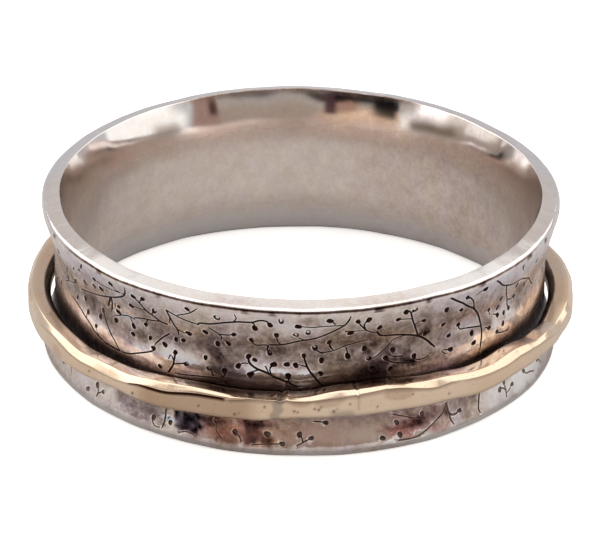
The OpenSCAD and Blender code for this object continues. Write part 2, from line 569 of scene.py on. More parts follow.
# The vine's twigs on the half that faces the camera: width of the cut, whether a berry ends the
# twig, and then the angle round the ring and the distance up the wall of each of its places.
TWIGS = (
    (0.08, 1, -120.3, 1.67, -122.2, 1.72, -123.8, 1.9, -125.5, 2.05, -127, 2.35, -128.6, 2.6),
    (0.05, 1, -127, 2.35, -126.6, 2.52, -125.8, 2.66),
    (0.055, 1, -124.2, 1.94, -123.8, 2.08, -123.2, 2.2),
    (0.05, 1, -125.3, 2.06, -127.6, 2.05, -130, 2.03),
    (0.06, 0, -122.2, 1.72, -124.5, 1.62, -127, 1.55, -130.2, 1.38),
    (0.05, 1, -125.6, 1.6, -126.2, 1.45, -126.7, 1.27),
    (0.065, 0, -119.9, 2.44, -118, 2.3, -116, 2.17, -113.5, 2.1, -112.4, 2.1),
    (0.075, 1, -112.6, 2.05, -111.8, 2.17, -109.5, 2.22, -106, 2.42, -103, 2.55, -100, 2.6, -98.5, 2.72,
     -97.1, 2.72, -96.5, 2.62, -96.1, 2.5),
    (0.06, 1, -100.2, 2.6, -99.5, 2.48, -99.4, 2.28),
    (0.05, 0, -104, 2.54, -103.4, 2.72, -103.8, 2.93),
    (0.05, 0, -117.2, 2.32, -115, 2.5, -113.8, 2.63, -112, 2.93),
    (0.05, 1, -113.8, 2.63, -114.2, 2.72, -114.6, 2.84),
    (0.075, 0, -119.9, 2.44, -119.3, 2.1, -118.6, 1.75, -117.9, 1.5, -117.8, 1.25),
    (0.055, 0, -119.3, 2.1, -119.7, 1.76),
    (0.06, 1, -118.2, 1.56, -116.8, 1.46, -115, 1.45),
    (0.06, 0, -120.2, 1.2, -122, 0.95, -123.8, 0.62, -124.4, 0.46),
    (0.06, 0, -124.7, 0.24, -126, 0.1, -130, -0.2, -132, -0.34, -135, -0.42),
    (0.075, 1, -120.4, -0.46, -119.3, -0.1, -119.1, 0.1, -118.7, 0.46),
    (0.055, 0, -119.2, 0.06, -119.7, 0.26, -120.2, 0.26, -120.5, 0.08),
    (0.055, 1, -119.2, -0.08, -117.5, 0.02, -115.8, 0.08),
    (0.05, 1, -109.6, -0.18, -109.8, -0.02, -110.5, 0.08),
    (0.055, 1, -107.5, -0.22, -106.6, -0.12, -106.7, 0.11),
    (0.05, 0, -118.5, -0.47, -112, -0.32, -108.5, -0.3, -106.8, -0.42),
    (0.06, 0, -109.8, 1.98, -108.6, 1.86, -107.7, 1.75, -106.8, 1.52),
    (0.06, 1, -107.7, 1.75, -105.6, 1.78, -104.2, 1.87),
    (0.055, 0, -107.2, 1.62, -107.4, 1.4),
    (0.05, 1, -106.8, 1.52, -106, 1.44, -105.6, 1.32),
    (0.06, 1, -96.7, 1.43, -97.6, 1.46, -99.5, 1.41, -100.2, 1.52, -100.5, 1.68),
    (0.06, 1, -96.7, 1.43, -97, 1.22, -96.4, 1.06),
    (0.07, 0, -96.2, 1.49, -94, 1.5, -92, 1.6, -90, 1.72, -87, 1.83, -85, 1.96, -82, 2.25, -80.2, 2.48,
     -79.4, 2.7, -79, 2.93),
    (0.055, 1, -93.8, 1.51, -94.6, 1.66, -94.9, 2.02),
    (0.05, 0, -90.1, 1.9, -88.5, 1.75),
    (0.05, 1, -80.3, 2.47, -84, 2.48, -87, 2.45, -90.3, 2.5),
    (0.055, 1, -82.2, 2.54, -82.8, 2.68, -83.6, 2.83),
    (0.06, 1, -84.7, 1.08, -85.8, 1.19, -86.5, 1.38),
    (0.05, 0, -84.7, 1.1, -82, 1.2, -80, 1.36, -77, 1.52, -75, 1.6, -74.5, 1.5),
    (0.065, 1, -82.5, 1.25, -83.1, 1.4, -83.3, 1.64),
    (0.05, 1, -79.5, 1.32, -79.2, 1.12, -79, 0.87),
    (0.05, 1, -65.8, 1.51, -68.5, 1.42, -69.5, 1.2, -71, 0.95, -73, 0.7, -74.3, 0.71),
    (0.075, 1, -84.4, -0.4, -86.3, 0.02, -87.8, 0.4, -88.6, 0.78, -88.9, 1.02),
    (0.05, 0, -88.4, 0.52, -89.4, 0.58, -90.4, 0.62),
    (0.085, 1, -96, 0.12, -97.5, 0.25, -99, 0.33, -100.6, 0.5, -101.2, 0.68, -101.1, 0.87),
    (0.085, 0, -95.5, 0.05, -94, -0.05, -92.2, -0.2),
    (0.075, 0, -92.3, -0.17, -91, -0.3, -89.6, -0.36),
    (0.055, 0, -97.4, 0.5, -96.5, 0.17),
    (0.055, 1, -96.1, 0.14, -96.4, 0.4, -95.4, 0.6),
    (0.055, 1, -98.8, 0.31, -100, 0.23, -100.9, 0.05),
    (0.05, 1, -101.4, 0.55, -102.6, 0.53, -103.6, 0.36),
    (0.055, 1, -92.2, -0.16, -92.3, 0.12),
    (0.055, 1, -73, 1.9, -73.9, 1.97, -75.4, 2.13, -76.6, 2.4, -77.4, 2.63),
    (0.06, 1, -75.4, 2.13, -75.9, 2.42, -74.9, 2.67),
    (0.085, 0, -72.8, 1.96, -72, 1.76, -70.5, 1.68, -68, 1.63, -65, 1.5, -62.5, 1.33, -60.5, 1.1, -58.8, 0.8,
     -57.7, 0.6),
    (0.045, 0, -80, 2.12, -77.5, 2.12, -75.4, 2.1),
    (0.065, 1, -62.6, 1.4, -63.5, 1.8, -64, 2, -64.8, 2.35, -65.5, 2.7, -66.7, 2.87),
    (0.05, 1, -64.8, 2.32, -66.2, 2.38, -68.3, 2.43),
    (0.05, 1, -63.8, 1.93, -63, 2.07, -61.6, 2.08),
    (0.045, 1, -54.6, 0.14, -56, 0.38, -53.3, 0.3),
    (0.055, 1, -49.6, 1.02, -50.9, 1.06, -51.7, 1.32),
    (0.05, 1, -50.2, 2.58, -51.1, 2.7),
    (0.08, 0, -55.7, 2.93, -54, 2.7, -52, 2.45, -50, 2.15, -48, 1.9, -46, 1.5, -44.8, 1.1, -44.1, 0.7, -43.9,
     0.35, -44.3, -0.3),
    (0.06, 0, -50.2, 2.62, -48.8, 2.35, -48, 2, -47.3, 1.78),
    (0.06, 0, -44.2, 0.8, -47.5, 0.94, -50, 1.03),
    (0.05, 1, -48.4, 2.6, -47.5, 2.7, -45.6, 2.73),
    (0.075, 0, -42.5, 2.93, -41, 2.7, -39.5, 2.45, -37.5, 2.28, -35, 2.12, -30.5, 2, -28.5, 1.85, -25, 1.55,
     -22.5, 1.15, -21, 0.95),
    (0.07, 1, -37.6, 2.28, -36.8, 1.9, -35.8, 1.6, -35, 1.38, -34.4, 1.05, -33.6, 0.85),
    (0.055, 1, -35, 1.36, -33, 1.23, -31.7, 1.25),
    (0.05, 1, -40, 1.05, -39.2, 0.98, -38.2, 0.87),
    (0.05, 1, -41.5, 1.1, -41.7, 1.22, -42.2, 1.42),
    (0.05, 1, -42.9, 0.62, -42.2, 0.6, -41.2, 0.52),
    (0.055, 1, -34, -0.08, -36.8, 0, -38.3, 0.15),
    (0.05, 1, -31.3, 2.46, -32.3, 2.84),
    (0.06, 1, -62.8, 0.2, -66, 0.27, -69, 0.42, -70.3, 0.63),
    (0.055, 0, -66, 0.58, -68, 0.62, -69.6, 0.72),
    (0.05, 1, -59.4, 0.35, -61, 0.27, -62.6, 0.3, -63.3, 0.49),
    (0.07, 0, -150, 1.28, -145, 1.5, -140, 1.75, -136, 2, -133.5, 2.2, -131.5, 2.42, -130.6, 2.7, -130.5,
     2.93),
    (0.05, 1, -131.3, 2.52, -133.5, 2.55, -134.2, 2.68, -135, 2.83),
    (0.05, 1, -132.6, 2.5, -136, 2.46, -139, 2.44, -141.2, 2.48),
    (0.05, 1, -138.2, 1.88, -138.6, 2.04, -139.4, 2.16),
    (0.095, 0, -136.3, 1.98, -137.3, 1.7, -138.6, 1.32),
    (0.085, 0, -136.2, 1.92, -136.6, 1.6, -137.6, 1.16),
    (0.06, 0, -135.4, 1.74, -136, 1.42),
    (0.11, 0, -151, 2.08, -149.9, 2.3),
    (0.11, 0, -148.1, 2.28, -147, 2.48),
    (0.12, 0, -145.7, 2.7, -144.8, 2.92),
    (0.1, 0, -156.3, 1.62, -155, 1.86),
    (0.1, 0, -152.4, 1.38, -151.2, 1.62),
    (0.09, 0, -160.6, 1.05, -159.4, 1.22),
    (0.05, 1, -130, 1.33, -132, 1.35, -134, 1.25, -135.2, 1.34),
    (0.045, 0, -134, 1.25, -135.6, 1.12, -137, 1.04),
    (0.055, 1, -131.2, 1.34, -130.9, 1.15, -130.4, 0.95),
    (0.075, 1, -138, 0.1, -139.5, 0.5, -140.3, 0.85, -140.7, 1.02),
    (0.085, 0, -154.5, 0.52, -152, 0.42, -150, 0.3, -146, 0, -144, -0.2, -140, -0.4, -135, -0.42),
    (0.05, 1, -147.6, 0.12, -147.5, 0.34, -146.8, 0.5),
    (0.045, 1, -142.6, -0.26, -143.6, -0.06, -143.5, 0.12),
    (0.05, 1, -148, 1.36, -148, 1.14, -148, 0.95),
    (0.07, 0, -138, 0.1, -136.6, -0.12, -135.6, -0.32, -134.5, -0.43),
    (0.05, 1, -160, 0.8, -156.5, 1.1, -153.6, 1.25, -151.8, 1.48),
    (0.05, 1, -165, 1.6, -160, 1.82, -155.6, 1.82),
    (0.075, 0, -120.4, -2, -120.3, -2.5, -120.8, -2.86),
    (0.05, 1, -121.4, -2.84, -122.4, -2.86, -123.3, -2.72, -123.2, -2.5),
    (0.05, 1, -106.5, -2.72, -108, -2.42, -107.9, -2.22, -108.3, -2.02),
    (0.05, 0, -116.8, -2.84, -114.5, -2.72, -112.2, -2.84),
    (0.055, 1, -102.2, -2.75, -102.8, -2.52, -103.8, -2.36),
    (0.045, 1, -100, -2.82, -96.5, -2.74, -93.2, -2.7),
    (0.05, 1, -90.3, -2.77, -88.6, -2.6, -87, -2.45),
    (0.05, 1, -89, -2.6, -89.1, -2.46, -89.7, -2.3),
    (0.05, 1, -86.6, -1.8, -85.2, -1.82, -83.8, -1.87),
    (0.045, 0, -68.9, -1.8, -66.5, -1.96, -64, -2.12, -61.8, -2.26),
    (0.06, 0, -68, -2.88, -64, -2.9, -61, -2.7, -58.5, -2.45, -56.5, -2.22, -55.2, -1.92),
    (0.08, 1, -55.2, -1.92, -54.9, -2.32, -53.6, -2.46, -51.9, -2.38),
    (0.07, 0, -54.9, -2.32, -54.7, -2.6, -54, -2.84),
    (0.075, 0, -45.2, -1.96, -46, -2.3, -46.6, -2.66, -46.1, -2.86),
    (0.06, 1, -36.8, -2.5, -37.8, -2.34, -39, -2.34),
    (0.065, 1, -37.1, -2.8, -36.9, -2.46, -37, -2.12),
    (0.05, 1, -36.9, -2.62, -35.6, -2.55, -34.2, -2.42),
    (0.055, 1, -24.6, -2.62, -26.2, -2.5, -28, -2.44, -28.9, -2.25),
    (0.055, 1, -19.7, -2.7, -20.2, -2.5, -21.6, -2.38),
    (0.06, 0, -154.2, -2.4, -152.5, -2.38, -151.8, -2.54, -151.5, -2.72),
    (0.065, 1, -140.5, -2.76, -140.2, -2.5, -141, -2.26),
    (0.055, 1, -140.1, -2.58, -139.4, -2.48, -138.5, -2.4),
)

# Berries that stand alone on that half. A third number marks a berry with a bright middle.
LOOSE_BERRIES = (
    (-118.6, 1), (-116.8, 1.05), (-124.5, 0.34), (-125.5, 0.76), (-121.4, 0.64), (-123, -0.36),
    (-110.8, 1.72), (-108.2, 1.22), (-107.6, 2.6, 1), (-93.8, 2.88, 1), (-90.5, 2.04, 1), (-88, 2.15, 1),
    (-78.6, 2.05), (-75.3, 1.2), (-84.9, 0.8), (-85, 0.18), (-92.5, 0.62), (-90.7, 0.61), (-99.9, 0.74),
    (-72.2, 2.18), (-64.4, 2.9, 1), (-60.7, 1.35), (-56.3, 1.58), (-56.2, 2.38), (-52, 2.1), (-54, 0.95),
    (-47.3, 0.7), (-38.2, 1.63), (-38.6, 1.28), (-35.8, 0.83), (-36, 0.32), (-68.5, 0.9), (-69, 0.12),
    (-73.5, 0.25), (-142, 2.05), (-134.5, 1.62), (-130.5, 0.6), (-136.3, 0.85), (-141.8, 0.62), (-152, 0.75),
    (-146.3, 1.92), (-157.2, 1.2), (-27.2, 1.42), (-32.2, 1.8), (-24, 2.3), (-103.8, -2.34), (-96.5, -2.36),
    (-71.6, -2.68), (-67.9, -2.18), (-67.5, -2.64), (-61.8, -2.02), (-143.7, -2.65), (-156.2, -2.46),
    (-118.9, -2.5), (-111.2, 0.55), (-46.3, 0.2), (-159, 2.3),
)


@dataclass
class VineEngraving:
    """Thin twigs with berries, cut into the flattened outer wall and blackened."""

    profile: BandProfile
    seed: int = 11
    hand_placed: tuple[float, float] = (-166.0, -14.0)
    step: float = 0.11
    margin: float = 0.035
    edge_room: float = 0.012
    seam_room: float = 0.35
    side_room: float = 0.15
    # A cut's half width as a share of the charted width, what is left of it at the tip, and the
    # length in which it would taper from nothing to the whole.
    stem_half: float = 0.6
    tip_share: float = 0.55
    taper_length: float = 0.5
    berry_size: float = 0.22
    berry_spread: tuple[float, float] = (0.9, 1.22)
    berry_gap: float = 0.33
    berry_limit: int = 360
    berry_tries: int = 900
    # Shares of the berries with a bright middle, on twigs and alone, and of the free places used.
    twig_hollow: float = 0.15
    loose_hollow: float = 0.2
    loose_share: float = 0.3
    twig_spacing: float = 1.15
    twig_stride: float = 0.42
    covered: tuple[float, float] = (-1.75, -0.5)
    stem_depth: float = 0.035
    stem_shine: float = 0.35
    shine_width: float = 0.05
    berry_depth: float = 0.06
    burr_peak: float = 0.03
    burr_width: float = 0.075
    burr_height: float = 0.014
    # Share of a cut's half width that is blackened.
    black_share: float = 0.98
    stems: list[Stem] = field(default_factory=list)
    berries: list[Berry] = field(default_factory=list)

    def __post_init__(self) -> None:
        """Lays out the vine, from the given tables where it faces the camera and by rule elsewhere."""
        self.dice = random.Random(self.seed)
        for width, has_berry, *places in TWIGS:
            pairs = zip(places[::2], places[1::2])
            self.add_twig([self.flat(*pair) for pair in pairs], width, bool(has_berry))
        for angle, along, *bright in LOOSE_BERRIES:
            self.add_berry(self.flat(angle, along), hollow=bool(bright))
        self.grow_far_side()

    def flat(self, angle: float, along: float) -> Point:
        """Place on the flattened wall, cut open at the back of the ring."""
        return self.profile.flat_r * math.radians((angle - BACK) % 360), along

    def off_seam(self, across: float) -> bool:
        """Whether a place round the ring is clear of the cut at the back."""
        return self.seam_room < across < self.profile.length - self.seam_room

    def add_twig(self, places: list[Point], width: float, has_berry: bool) -> None:
        """Cuts one twig through some places, tapered at its tip, with a berry there if asked."""
        line = self.curve_through(places)
        reach = np.arange(len(line)) * self.step
        taper = np.minimum(1.0, self.tip_share + reach[::-1] / self.taper_length)
        self.stems.append(Stem(line, self.stem_half * width * taper))
        if has_berry:
            run = line[-2] - line[-1]
            hollow = self.dice.random() < self.twig_hollow
            self.add_berry(tuple(line[-1]), hollow, math.atan2(run[1], run[0]))

    def add_berry(self, place: Point, hollow: bool, heading: float | None = None) -> None:
        """Stamps a berry shaped like a drop, which points along its stalk or, if loose, anywhere."""
        size = self.berry_size * self.dice.uniform(*self.berry_spread)
        if heading is None:
            point = self.dice.uniform(0, 2 * math.pi)
        else:
            point = heading + self.dice.uniform(-0.5, 0.5)
        phases = tuple(k * point + self.dice.uniform(-0.3, 0.3) for k in (1, 2, 3))
        limit = self.profile.wall_half - 0.6 * size - self.margin
        centre = np.array([place[0], max(-limit, min(limit, place[1]))])
        self.berries.append(Berry(centre, size, phases, hollow))

    def curve_through(self, places: list[Point]) -> Array:
        """Smooth line through places.

        Args:
            places: Points on the flattened wall.

        Returns:
            Points about a step apart, kept inside the wall's margin.
        """
        knots = [np.array(p) for p in places]
        knots = [2 * knots[0] - knots[1], *knots, 2 * knots[-1] - knots[-2]]
        fine = []
        for before, start, end, after in zip(knots, knots[1:], knots[2:], knots[3:]):
            for t in np.linspace(0, 1, 24, endpoint=False):
                fine.append(
                    0.5 * (
                        2 * start
                        + (end - before) * t
                        + (2 * before - 5 * start + 4 * end - after) * t ** 2
                        + (3 * start - before - 3 * end + after) * t ** 3
                    )
                )
        fine = np.array(fine + [knots[-2]])
        reach = np.concatenate([[0], np.cumsum(np.linalg.norm(np.diff(fine, axis=0), axis=1))])
        count = max(3, round(reach[-1] / self.step) + 1)
        even = np.linspace(0, reach[-1], count)
        line = np.stack([np.interp(even, reach, fine[:, k]) for k in (0, 1)], axis=1)
        limit = self.profile.wall_half - self.margin
        line[:, 1] = np.clip(line[:, 1], -limit, limit)
        return line

    def is_free(self, place: Point) -> bool:
        """Whether a berry may go to a place without touching another one."""
        return all(np.hypot(*(berry.centre - place)) > self.berry_gap for berry in self.berries)

    def grow_far_side(self) -> None:
        """Grows twigs with side stalks and berries on the part that isn't laid out by hand."""
        first = self.flat(self.hand_placed[1], 0)[0]
        last = self.profile.length + self.flat(self.hand_placed[0], 0)[0]
        side_limit = self.profile.wall_half - self.side_room
        start = first
        while start < last:
            for low, high in ((-0.2, side_limit), (-side_limit, self.covered[0] - 0.1)):
                self.grow_twig(start + self.dice.uniform(0, 1.2), self.dice.uniform(low, high), low, high)
            start += self.twig_spacing
        for _ in range(self.berry_tries):
            across = self.dice.uniform(first, last) % self.profile.length
            along = self.dice.uniform(-side_limit, side_limit)
            if self.covered[0] < along < self.covered[1] or not self.off_seam(across):
                continue
            if self.is_free((across, along)) and len(self.berries) < self.berry_limit:
                if self.dice.random() < self.loose_share:
                    self.add_berry((across, along), hollow=self.dice.random() < self.loose_hollow)

    def grow_twig(self, across: float, along: float, low: float, high: float) -> None:
        """Grows one twig of the far side.

        Args:
            across: Where it starts round the ring, which may be past the cut.
            along: Where it starts up the wall.
            low: Lowest place of the part of the wall it grows on.
            high: Highest place of that part.
        """
        across %= self.profile.length
        heading = self.dice.choice((0, math.pi)) + self.dice.uniform(-0.7, 0.7)
        curl = self.dice.uniform(-0.5, 0.5)
        places = [(across, along)]
        for _ in range(self.dice.randint(3, 7)):
            heading += curl
            curl += self.dice.uniform(-0.25, 0.25)
            x = places[-1][0] + self.twig_stride * math.cos(heading)
            y = places[-1][1] + self.twig_stride * math.sin(heading)
            if not low < y < high or not self.off_seam(x):
                break
            places.append((x, y))
        if len(places) < 3 or not self.is_free(places[-1]):
            return
        self.add_twig(places, self.dice.uniform(0.05, 0.085), True)
        side = 1
        for (x0, y0), (x1, y1) in zip(places[:-1], places[1:]):
            side = -side
            turn = math.atan2(y1 - y0, x1 - x0) + side * self.dice.uniform(0.5, 1.1)
            half = 0.5 * self.dice.uniform(0.3, 0.6)
            bend = turn + side * self.dice.uniform(-0.9, 0.5)
            middle = (x0 + half * math.cos(turn), y0 + half * math.sin(turn))
            tip = (middle[0] + half * math.cos(bend), middle[1] + half * math.sin(bend))
            inside = low < tip[1] < high and self.off_seam(tip[0])
            if inside and self.is_free(tip) and self.dice.random() < 0.75:
                self.add_twig([(x0, y0), middle, tip], self.dice.uniform(0.045, 0.06), True)

    def outlines(self) -> list[Array]:
        """Every line that the wall's mesh has to follow, closed lines with their start repeated."""
        lines = []
        limit = self.profile.wall_half - self.edge_room
        for stem in self.stems:
            lines.append(stem.line)
            run = np.gradient(stem.line, axis=0)
            across = np.stack([-run[:, 1], run[:, 0]], axis=1)
            across /= np.maximum(np.linalg.norm(across, axis=1), 1e-6)[:, None]
            for side in (-1, 1):
                for more in (0.0, self.shine_width):
                    lines.append(stem.line + side * across * (stem.half[:, None] + more))
        turn = np.linspace(0, 2 * math.pi, 13)
        spokes = np.stack([np.cos(turn), np.sin(turn)], axis=1)
        for berry in self.berries:
            radius = berry.radius(turn)
            for share, more in ((0.5, 0.0), (1.0, 0.0), (1.0, self.burr_peak), (1.0, self.burr_width)):
                lines.append(berry.centre + spokes * (share * radius + more)[:, None])
        for line in lines:
            line[:, 1] = np.clip(line[:, 1], -limit, limit)
        return lines

    def cut(self, places: Array) -> tuple[Array, Array, Array]:
        """What the engraving does at places on the flattened wall.

        Args:
            places: One row per place.

        Returns:
            How far each place is raised, how much its edge is polished and lightened by a painted highlight,
            and whether it is in a cut.
        """
        raised, polish_and_highlight = np.zeros((2, len(places)))
        inside = np.zeros(len(places), bool)
        for stem in self.stems:
            near = self.near(places, stem.line.min(axis=0), stem.line.max(axis=0))
            if not len(near):
                continue
            gap, half = self.distance_to(places[near], stem)
            depth = np.clip(1 - gap / half, 0, 1) * self.stem_depth
            edge_lightening = self.stem_shine * np.clip(1 - (gap - half) / self.shine_width, 0, 1)
            raised[near] = np.minimum(raised[near], -depth)
            polish_and_highlight[near] = np.maximum(polish_and_highlight[near], edge_lightening)
            inside[near] |= gap < half * self.black_share
        for berry in self.berries:
            near = self.near(places, berry.centre - berry.size, berry.centre + berry.size)
            if not len(near):
                continue
            offset = places[near] - berry.centre
            angle = np.arctan2(offset[:, 1], offset[:, 0])
            gap = np.linalg.norm(offset, axis=1)
            edge = berry.radius(angle)
            share = gap / edge
            floor = np.clip((1 - share) / 0.5, 0, 1) * self.berry_depth
            if berry.hollow:
                floor = np.where(share < 0.5, self.berry_depth * share, floor)
            past = gap - edge
            # The stamp pushed the metal up, most on its left, and wear keeps that burr bright; its left side
            # is also painted brighter, a painted highlight where it catches the light.
            raised_lit_crescent = 0.12 + 0.6 * np.clip(np.cos(angle - math.pi) * 1.3, 0, 1)
            burr = np.interp(past, [0, self.burr_peak, self.burr_width], [0.3, 1, 0]) * (past > -TOUCH)
            lift = burr * self.burr_height * raised_lit_crescent
            level = raised[near]
            level = np.where(past < -TOUCH, np.minimum(level, -floor), level)
            level = np.where((past >= -TOUCH) & (level >= 0), np.maximum(level, lift), level)
            raised[near] = level
            # Painted highlight: the burr's left side is lightened where it would catch the light, on top of
            # its wear.
            edge_lightening = raised_lit_crescent * np.clip(1 - past / self.burr_width, 0, 1)
            polish_and_highlight[near] = np.maximum(polish_and_highlight[near], edge_lightening)
            inside[near] |= (share < self.black_share) & ~(berry.hollow & (share < 0.5))
        return raised, polish_and_highlight, inside

    @staticmethod
    def near(places: Array, low: Array, high: Array) -> Array:
        """Numbers of the places in a box, with a little room round it."""
        room = 0.15
        return np.nonzero(((places > low - room) & (places < high + room)).all(axis=1))[0]

    @staticmethod
    def distance_to(places: Array, stem: Stem) -> tuple[Array, Array]:
        """Distance from places to a stem's middle line, and the stem's half width there."""
        starts, ends = stem.line[:-1], stem.line[1:]
        along = ends - starts
        squares = np.maximum((along ** 2).sum(axis=1), 1e-12)
        offset = places[:, None, :] - starts[None]
        share = np.clip((offset * along).sum(axis=2) / squares, 0, 1)
        gaps = np.linalg.norm(offset - share[..., None] * along, axis=2)
        best = gaps.argmin(axis=1)
        rows = np.arange(len(places))
        half = stem.half[best] + share[rows, best] * (stem.half[best + 1] - stem.half[best])
        return gaps[rows, best], half


@dataclass(frozen=True)
class Cloud:
    """A darker or lighter cloud on the outer wall, as seen on the flat wall: tarnish and places rubbed clean,
    partly painted shade and painted highlights for what the wall reflects.
    """

    angle: float
    along: float
    half_wide: float
    half_tall: float
    dark: float
    red: float = 0.0

    def share(self, angle: Array, along: Array, warp: Array) -> Array:
        """How much of the cloud is at places, with an edge that wanders.

        Args:
            angle: Angles round the ring, in degrees.
            along: Distances up the wall.
            warp: Uneven numbers about zero, one for each place.

        Returns:
            Shares from 0 to 1.
        """
        side = np.radians(apart(angle, self.angle)) * BandProfile.flat_r / self.half_wide
        up = (along - self.along) / self.half_tall
        return smooth_step(np.hypot(side, up) + 0.9 * warp, 1.45, 0.5)


# The clouds, partly tarnish and partly painted reflections, highlights and shade: angle, distance up the
# wall, half width, half height, how dark, and how red or, below zero, how blue.
TARNISH_AND_REFLECTION_CLOUDS = tuple(
    Cloud(*row)
    for row in (
        (-154, 0.9, 0.9, 0.9, 0.1), (-146, 2.1, 1.4, 0.5, 0.08), (-148, 1.35, 1, 0.4, 0.13),
        (-138, 1.45, 0.22, 0.35, 0.2), (-132.5, 1.2, 0.9, 0.5, -0.16), (-127.5, 0.65, 0.5, 0.3, 0.1),
        (-118.5, 1, 1, 0.35, 0.12), (-144, 0.18, 1.3, 0.3, -0.3), (-129, -0.1, 1.2, 0.25, -0.22),
        (-119.5, 0.4, 1.3, 0.32, -0.3), (-90, 2.35, 1, 0.3, -0.16), (-62, 2.2, 0.9, 0.3, 0.08),
        (-62.5, 1.2, 0.8, 0.3, 0.08), (-57, 0.22, 0.9, 0.25, 0.2), (-143.5, 0.9, 0.9, 0.5, 0.1),
        (-49, 1.15, 0.9, 0.35, -0.12), (-43, 0.1, 1, 0.3, -0.15), (-36.5, 1, 0.9, 0.4, -0.3),
        (-110.5, 1.1, 0.6, 0.6, 0.2), (-106.5, 0.2, 0.65, 0.4, 0.3), (-103, 1.4, 1.6, 0.8, 0.08),
        (-95, 1.3, 0.4, 0.4, 0.14), (-99.5, 0.3, 0.7, 0.45, -0.25), (-92, 0.15, 1, 0.3, -0.22),
        (-86.5, 0.02, 1, 0.2, -0.25), (-82.5, 0.75, 0.5, 0.5, 0.06), (-72.5, 0.5, 1.1, 0.6, 0.28),
        (-71, 0.2, 0.6, 0.3, 0.25), (-75, 1.6, 1, 0.5, 0.14), (-66, 1.1, 0.6, 0.4, 0.08),
        (-65.5, 0.5, 0.45, 0.22, 0.3), (-60.5, 1.5, 0.35, 0.3, 0.32), (-61, 2, 1, 0.7, 0.12),
        (-52, 1.7, 0.8, 0.45, 0.1), (-44, 1.8, 0.9, 0.55, 0.05), (-47.5, 0.9, 0.8, 0.5, -0.1),
        (-35, 0.35, 1.8, 0.3, -0.3, 0.16), (-28, 1.45, 0.4, 0.25, 0.16), (-132, 1.6, 1.2, 0.5, -0.06, -0.45),
        (-157, 1.7, 1.2, 0.6, -0.02, -0.45), (-31, 1.7, 1.6, 0.45, 0, -0.5), (-47, 0.1, 1, 0.3, -0.18),
        (-144, 1.2, 0.7, 0.4, 0.06), (-66, 0.1, 1, 0.25, 0.1), (-53, 2.2, 1, 0.4, -0.05),
        (-88, 2.75, 0.35, 0.25, 0.25), (-115, -2.27, 0.6, 0.34, 0.68, -0.9),
        (-118.6, -2.36, 0.35, 0.12, -0.5, -0.5), (-116.4, -2.14, 0.12, 0.12, -0.4, -0.4),
        (-113.4, -2.44, 0.15, 0.1, -0.4, -0.4), (-103.5, -2.35, 1.3, 0.5, 0.22, 0.75),
        (-99.5, -2.35, 0.5, 0.5, 0.22, 0.5), (-98, -1.95, 0.6, 0.2, 0.25, 0.4),
        (-90, -2.3, 0.8, 0.5, -0.04, 0.25), (-80, -2.3, 1.2, 0.5, -0.05, 0.15),
        (-74.5, -2.4, 0.5, 0.5, -0.12, 0.1), (-66, -2.35, 0.75, 0.36, 0.36, 0.8),
        (-58.5, -2.7, 0.6, 0.2, 0.2, 0.4), (-60.5, -2.2, 0.8, 0.4, 0.4, 0.3), (-50, -2.3, 0.9, 0.5, 0.3),
        (-91, -2.78, 2.4, 0.14, 0.12), (-108, -2.8, 1.4, 0.14, 0.1), (-38, -2.4, 1, 0.6, -0.14),
        (-28, -2.4, 1, 0.6, -0.35), (-107, -2.35, 2.2, 0.5, 0.09), (-66, -2.78, 1, 0.26, -0.35),
        (-109.5, -2.1, 0.3, 0.2, 0.25, 0.2), (-127, -2.3, 1.2, 0.45, 0.2, -0.2),
    )
)


# The black above the spinner, partly thick tarnish and partly painted shade standing in for the gap's shade
# and dark reflection, by angle: where its upper edge lies along the wall, how softly it ends, and how dark it
# is.
BLACK_TARNISH_AND_GAP_SHADE = (
    (-180, -0.15, 0.38, 0.86), (-165, -0.2, 0.38, 0.86), (-155, -0.35, 0.38, 0.84), (-145, -0.5, 0.36, 0.78),
    (-128, -0.5, 0.3, 0.66), (-118, -0.55, 0.22, 0.52), (-110, -0.72, 0.2, 0.42), (-100, -0.75, 0.2, 0.32),
    (-92, -0.42, 0.22, 0.33), (-60, -0.1, 0.22, 0.36), (-52, -0.3, 0.3, 0.58), (-42, -0.55, 0.36, 0.7),
    (-28, -0.45, 0.38, 0.82), (-15, -0.25, 0.38, 0.86), (0, -0.1, 0.3, 0.86), (180, -0.15, 0.38, 0.86),
)


# The waves that hand finishing left in the band: strength, waves round the ring, phase, and how
# far the phase shifts with each millimetre of height.
WAVES_OUT = ((1, 3, 0.8, 0.3), (0.7, 7, 2.1, -0.5), (0.45, 13, 4.0, 0.9), (0.3, 22, 1.0, -1.7))
WAVES_UP = ((1, 4, 1.3, 0), (0.6, 9, 5.2, 0), (0.4, 17, 0.4, 0), (0.25, 31, 2.2, 0), (0.16, 53, 0.9, 0))


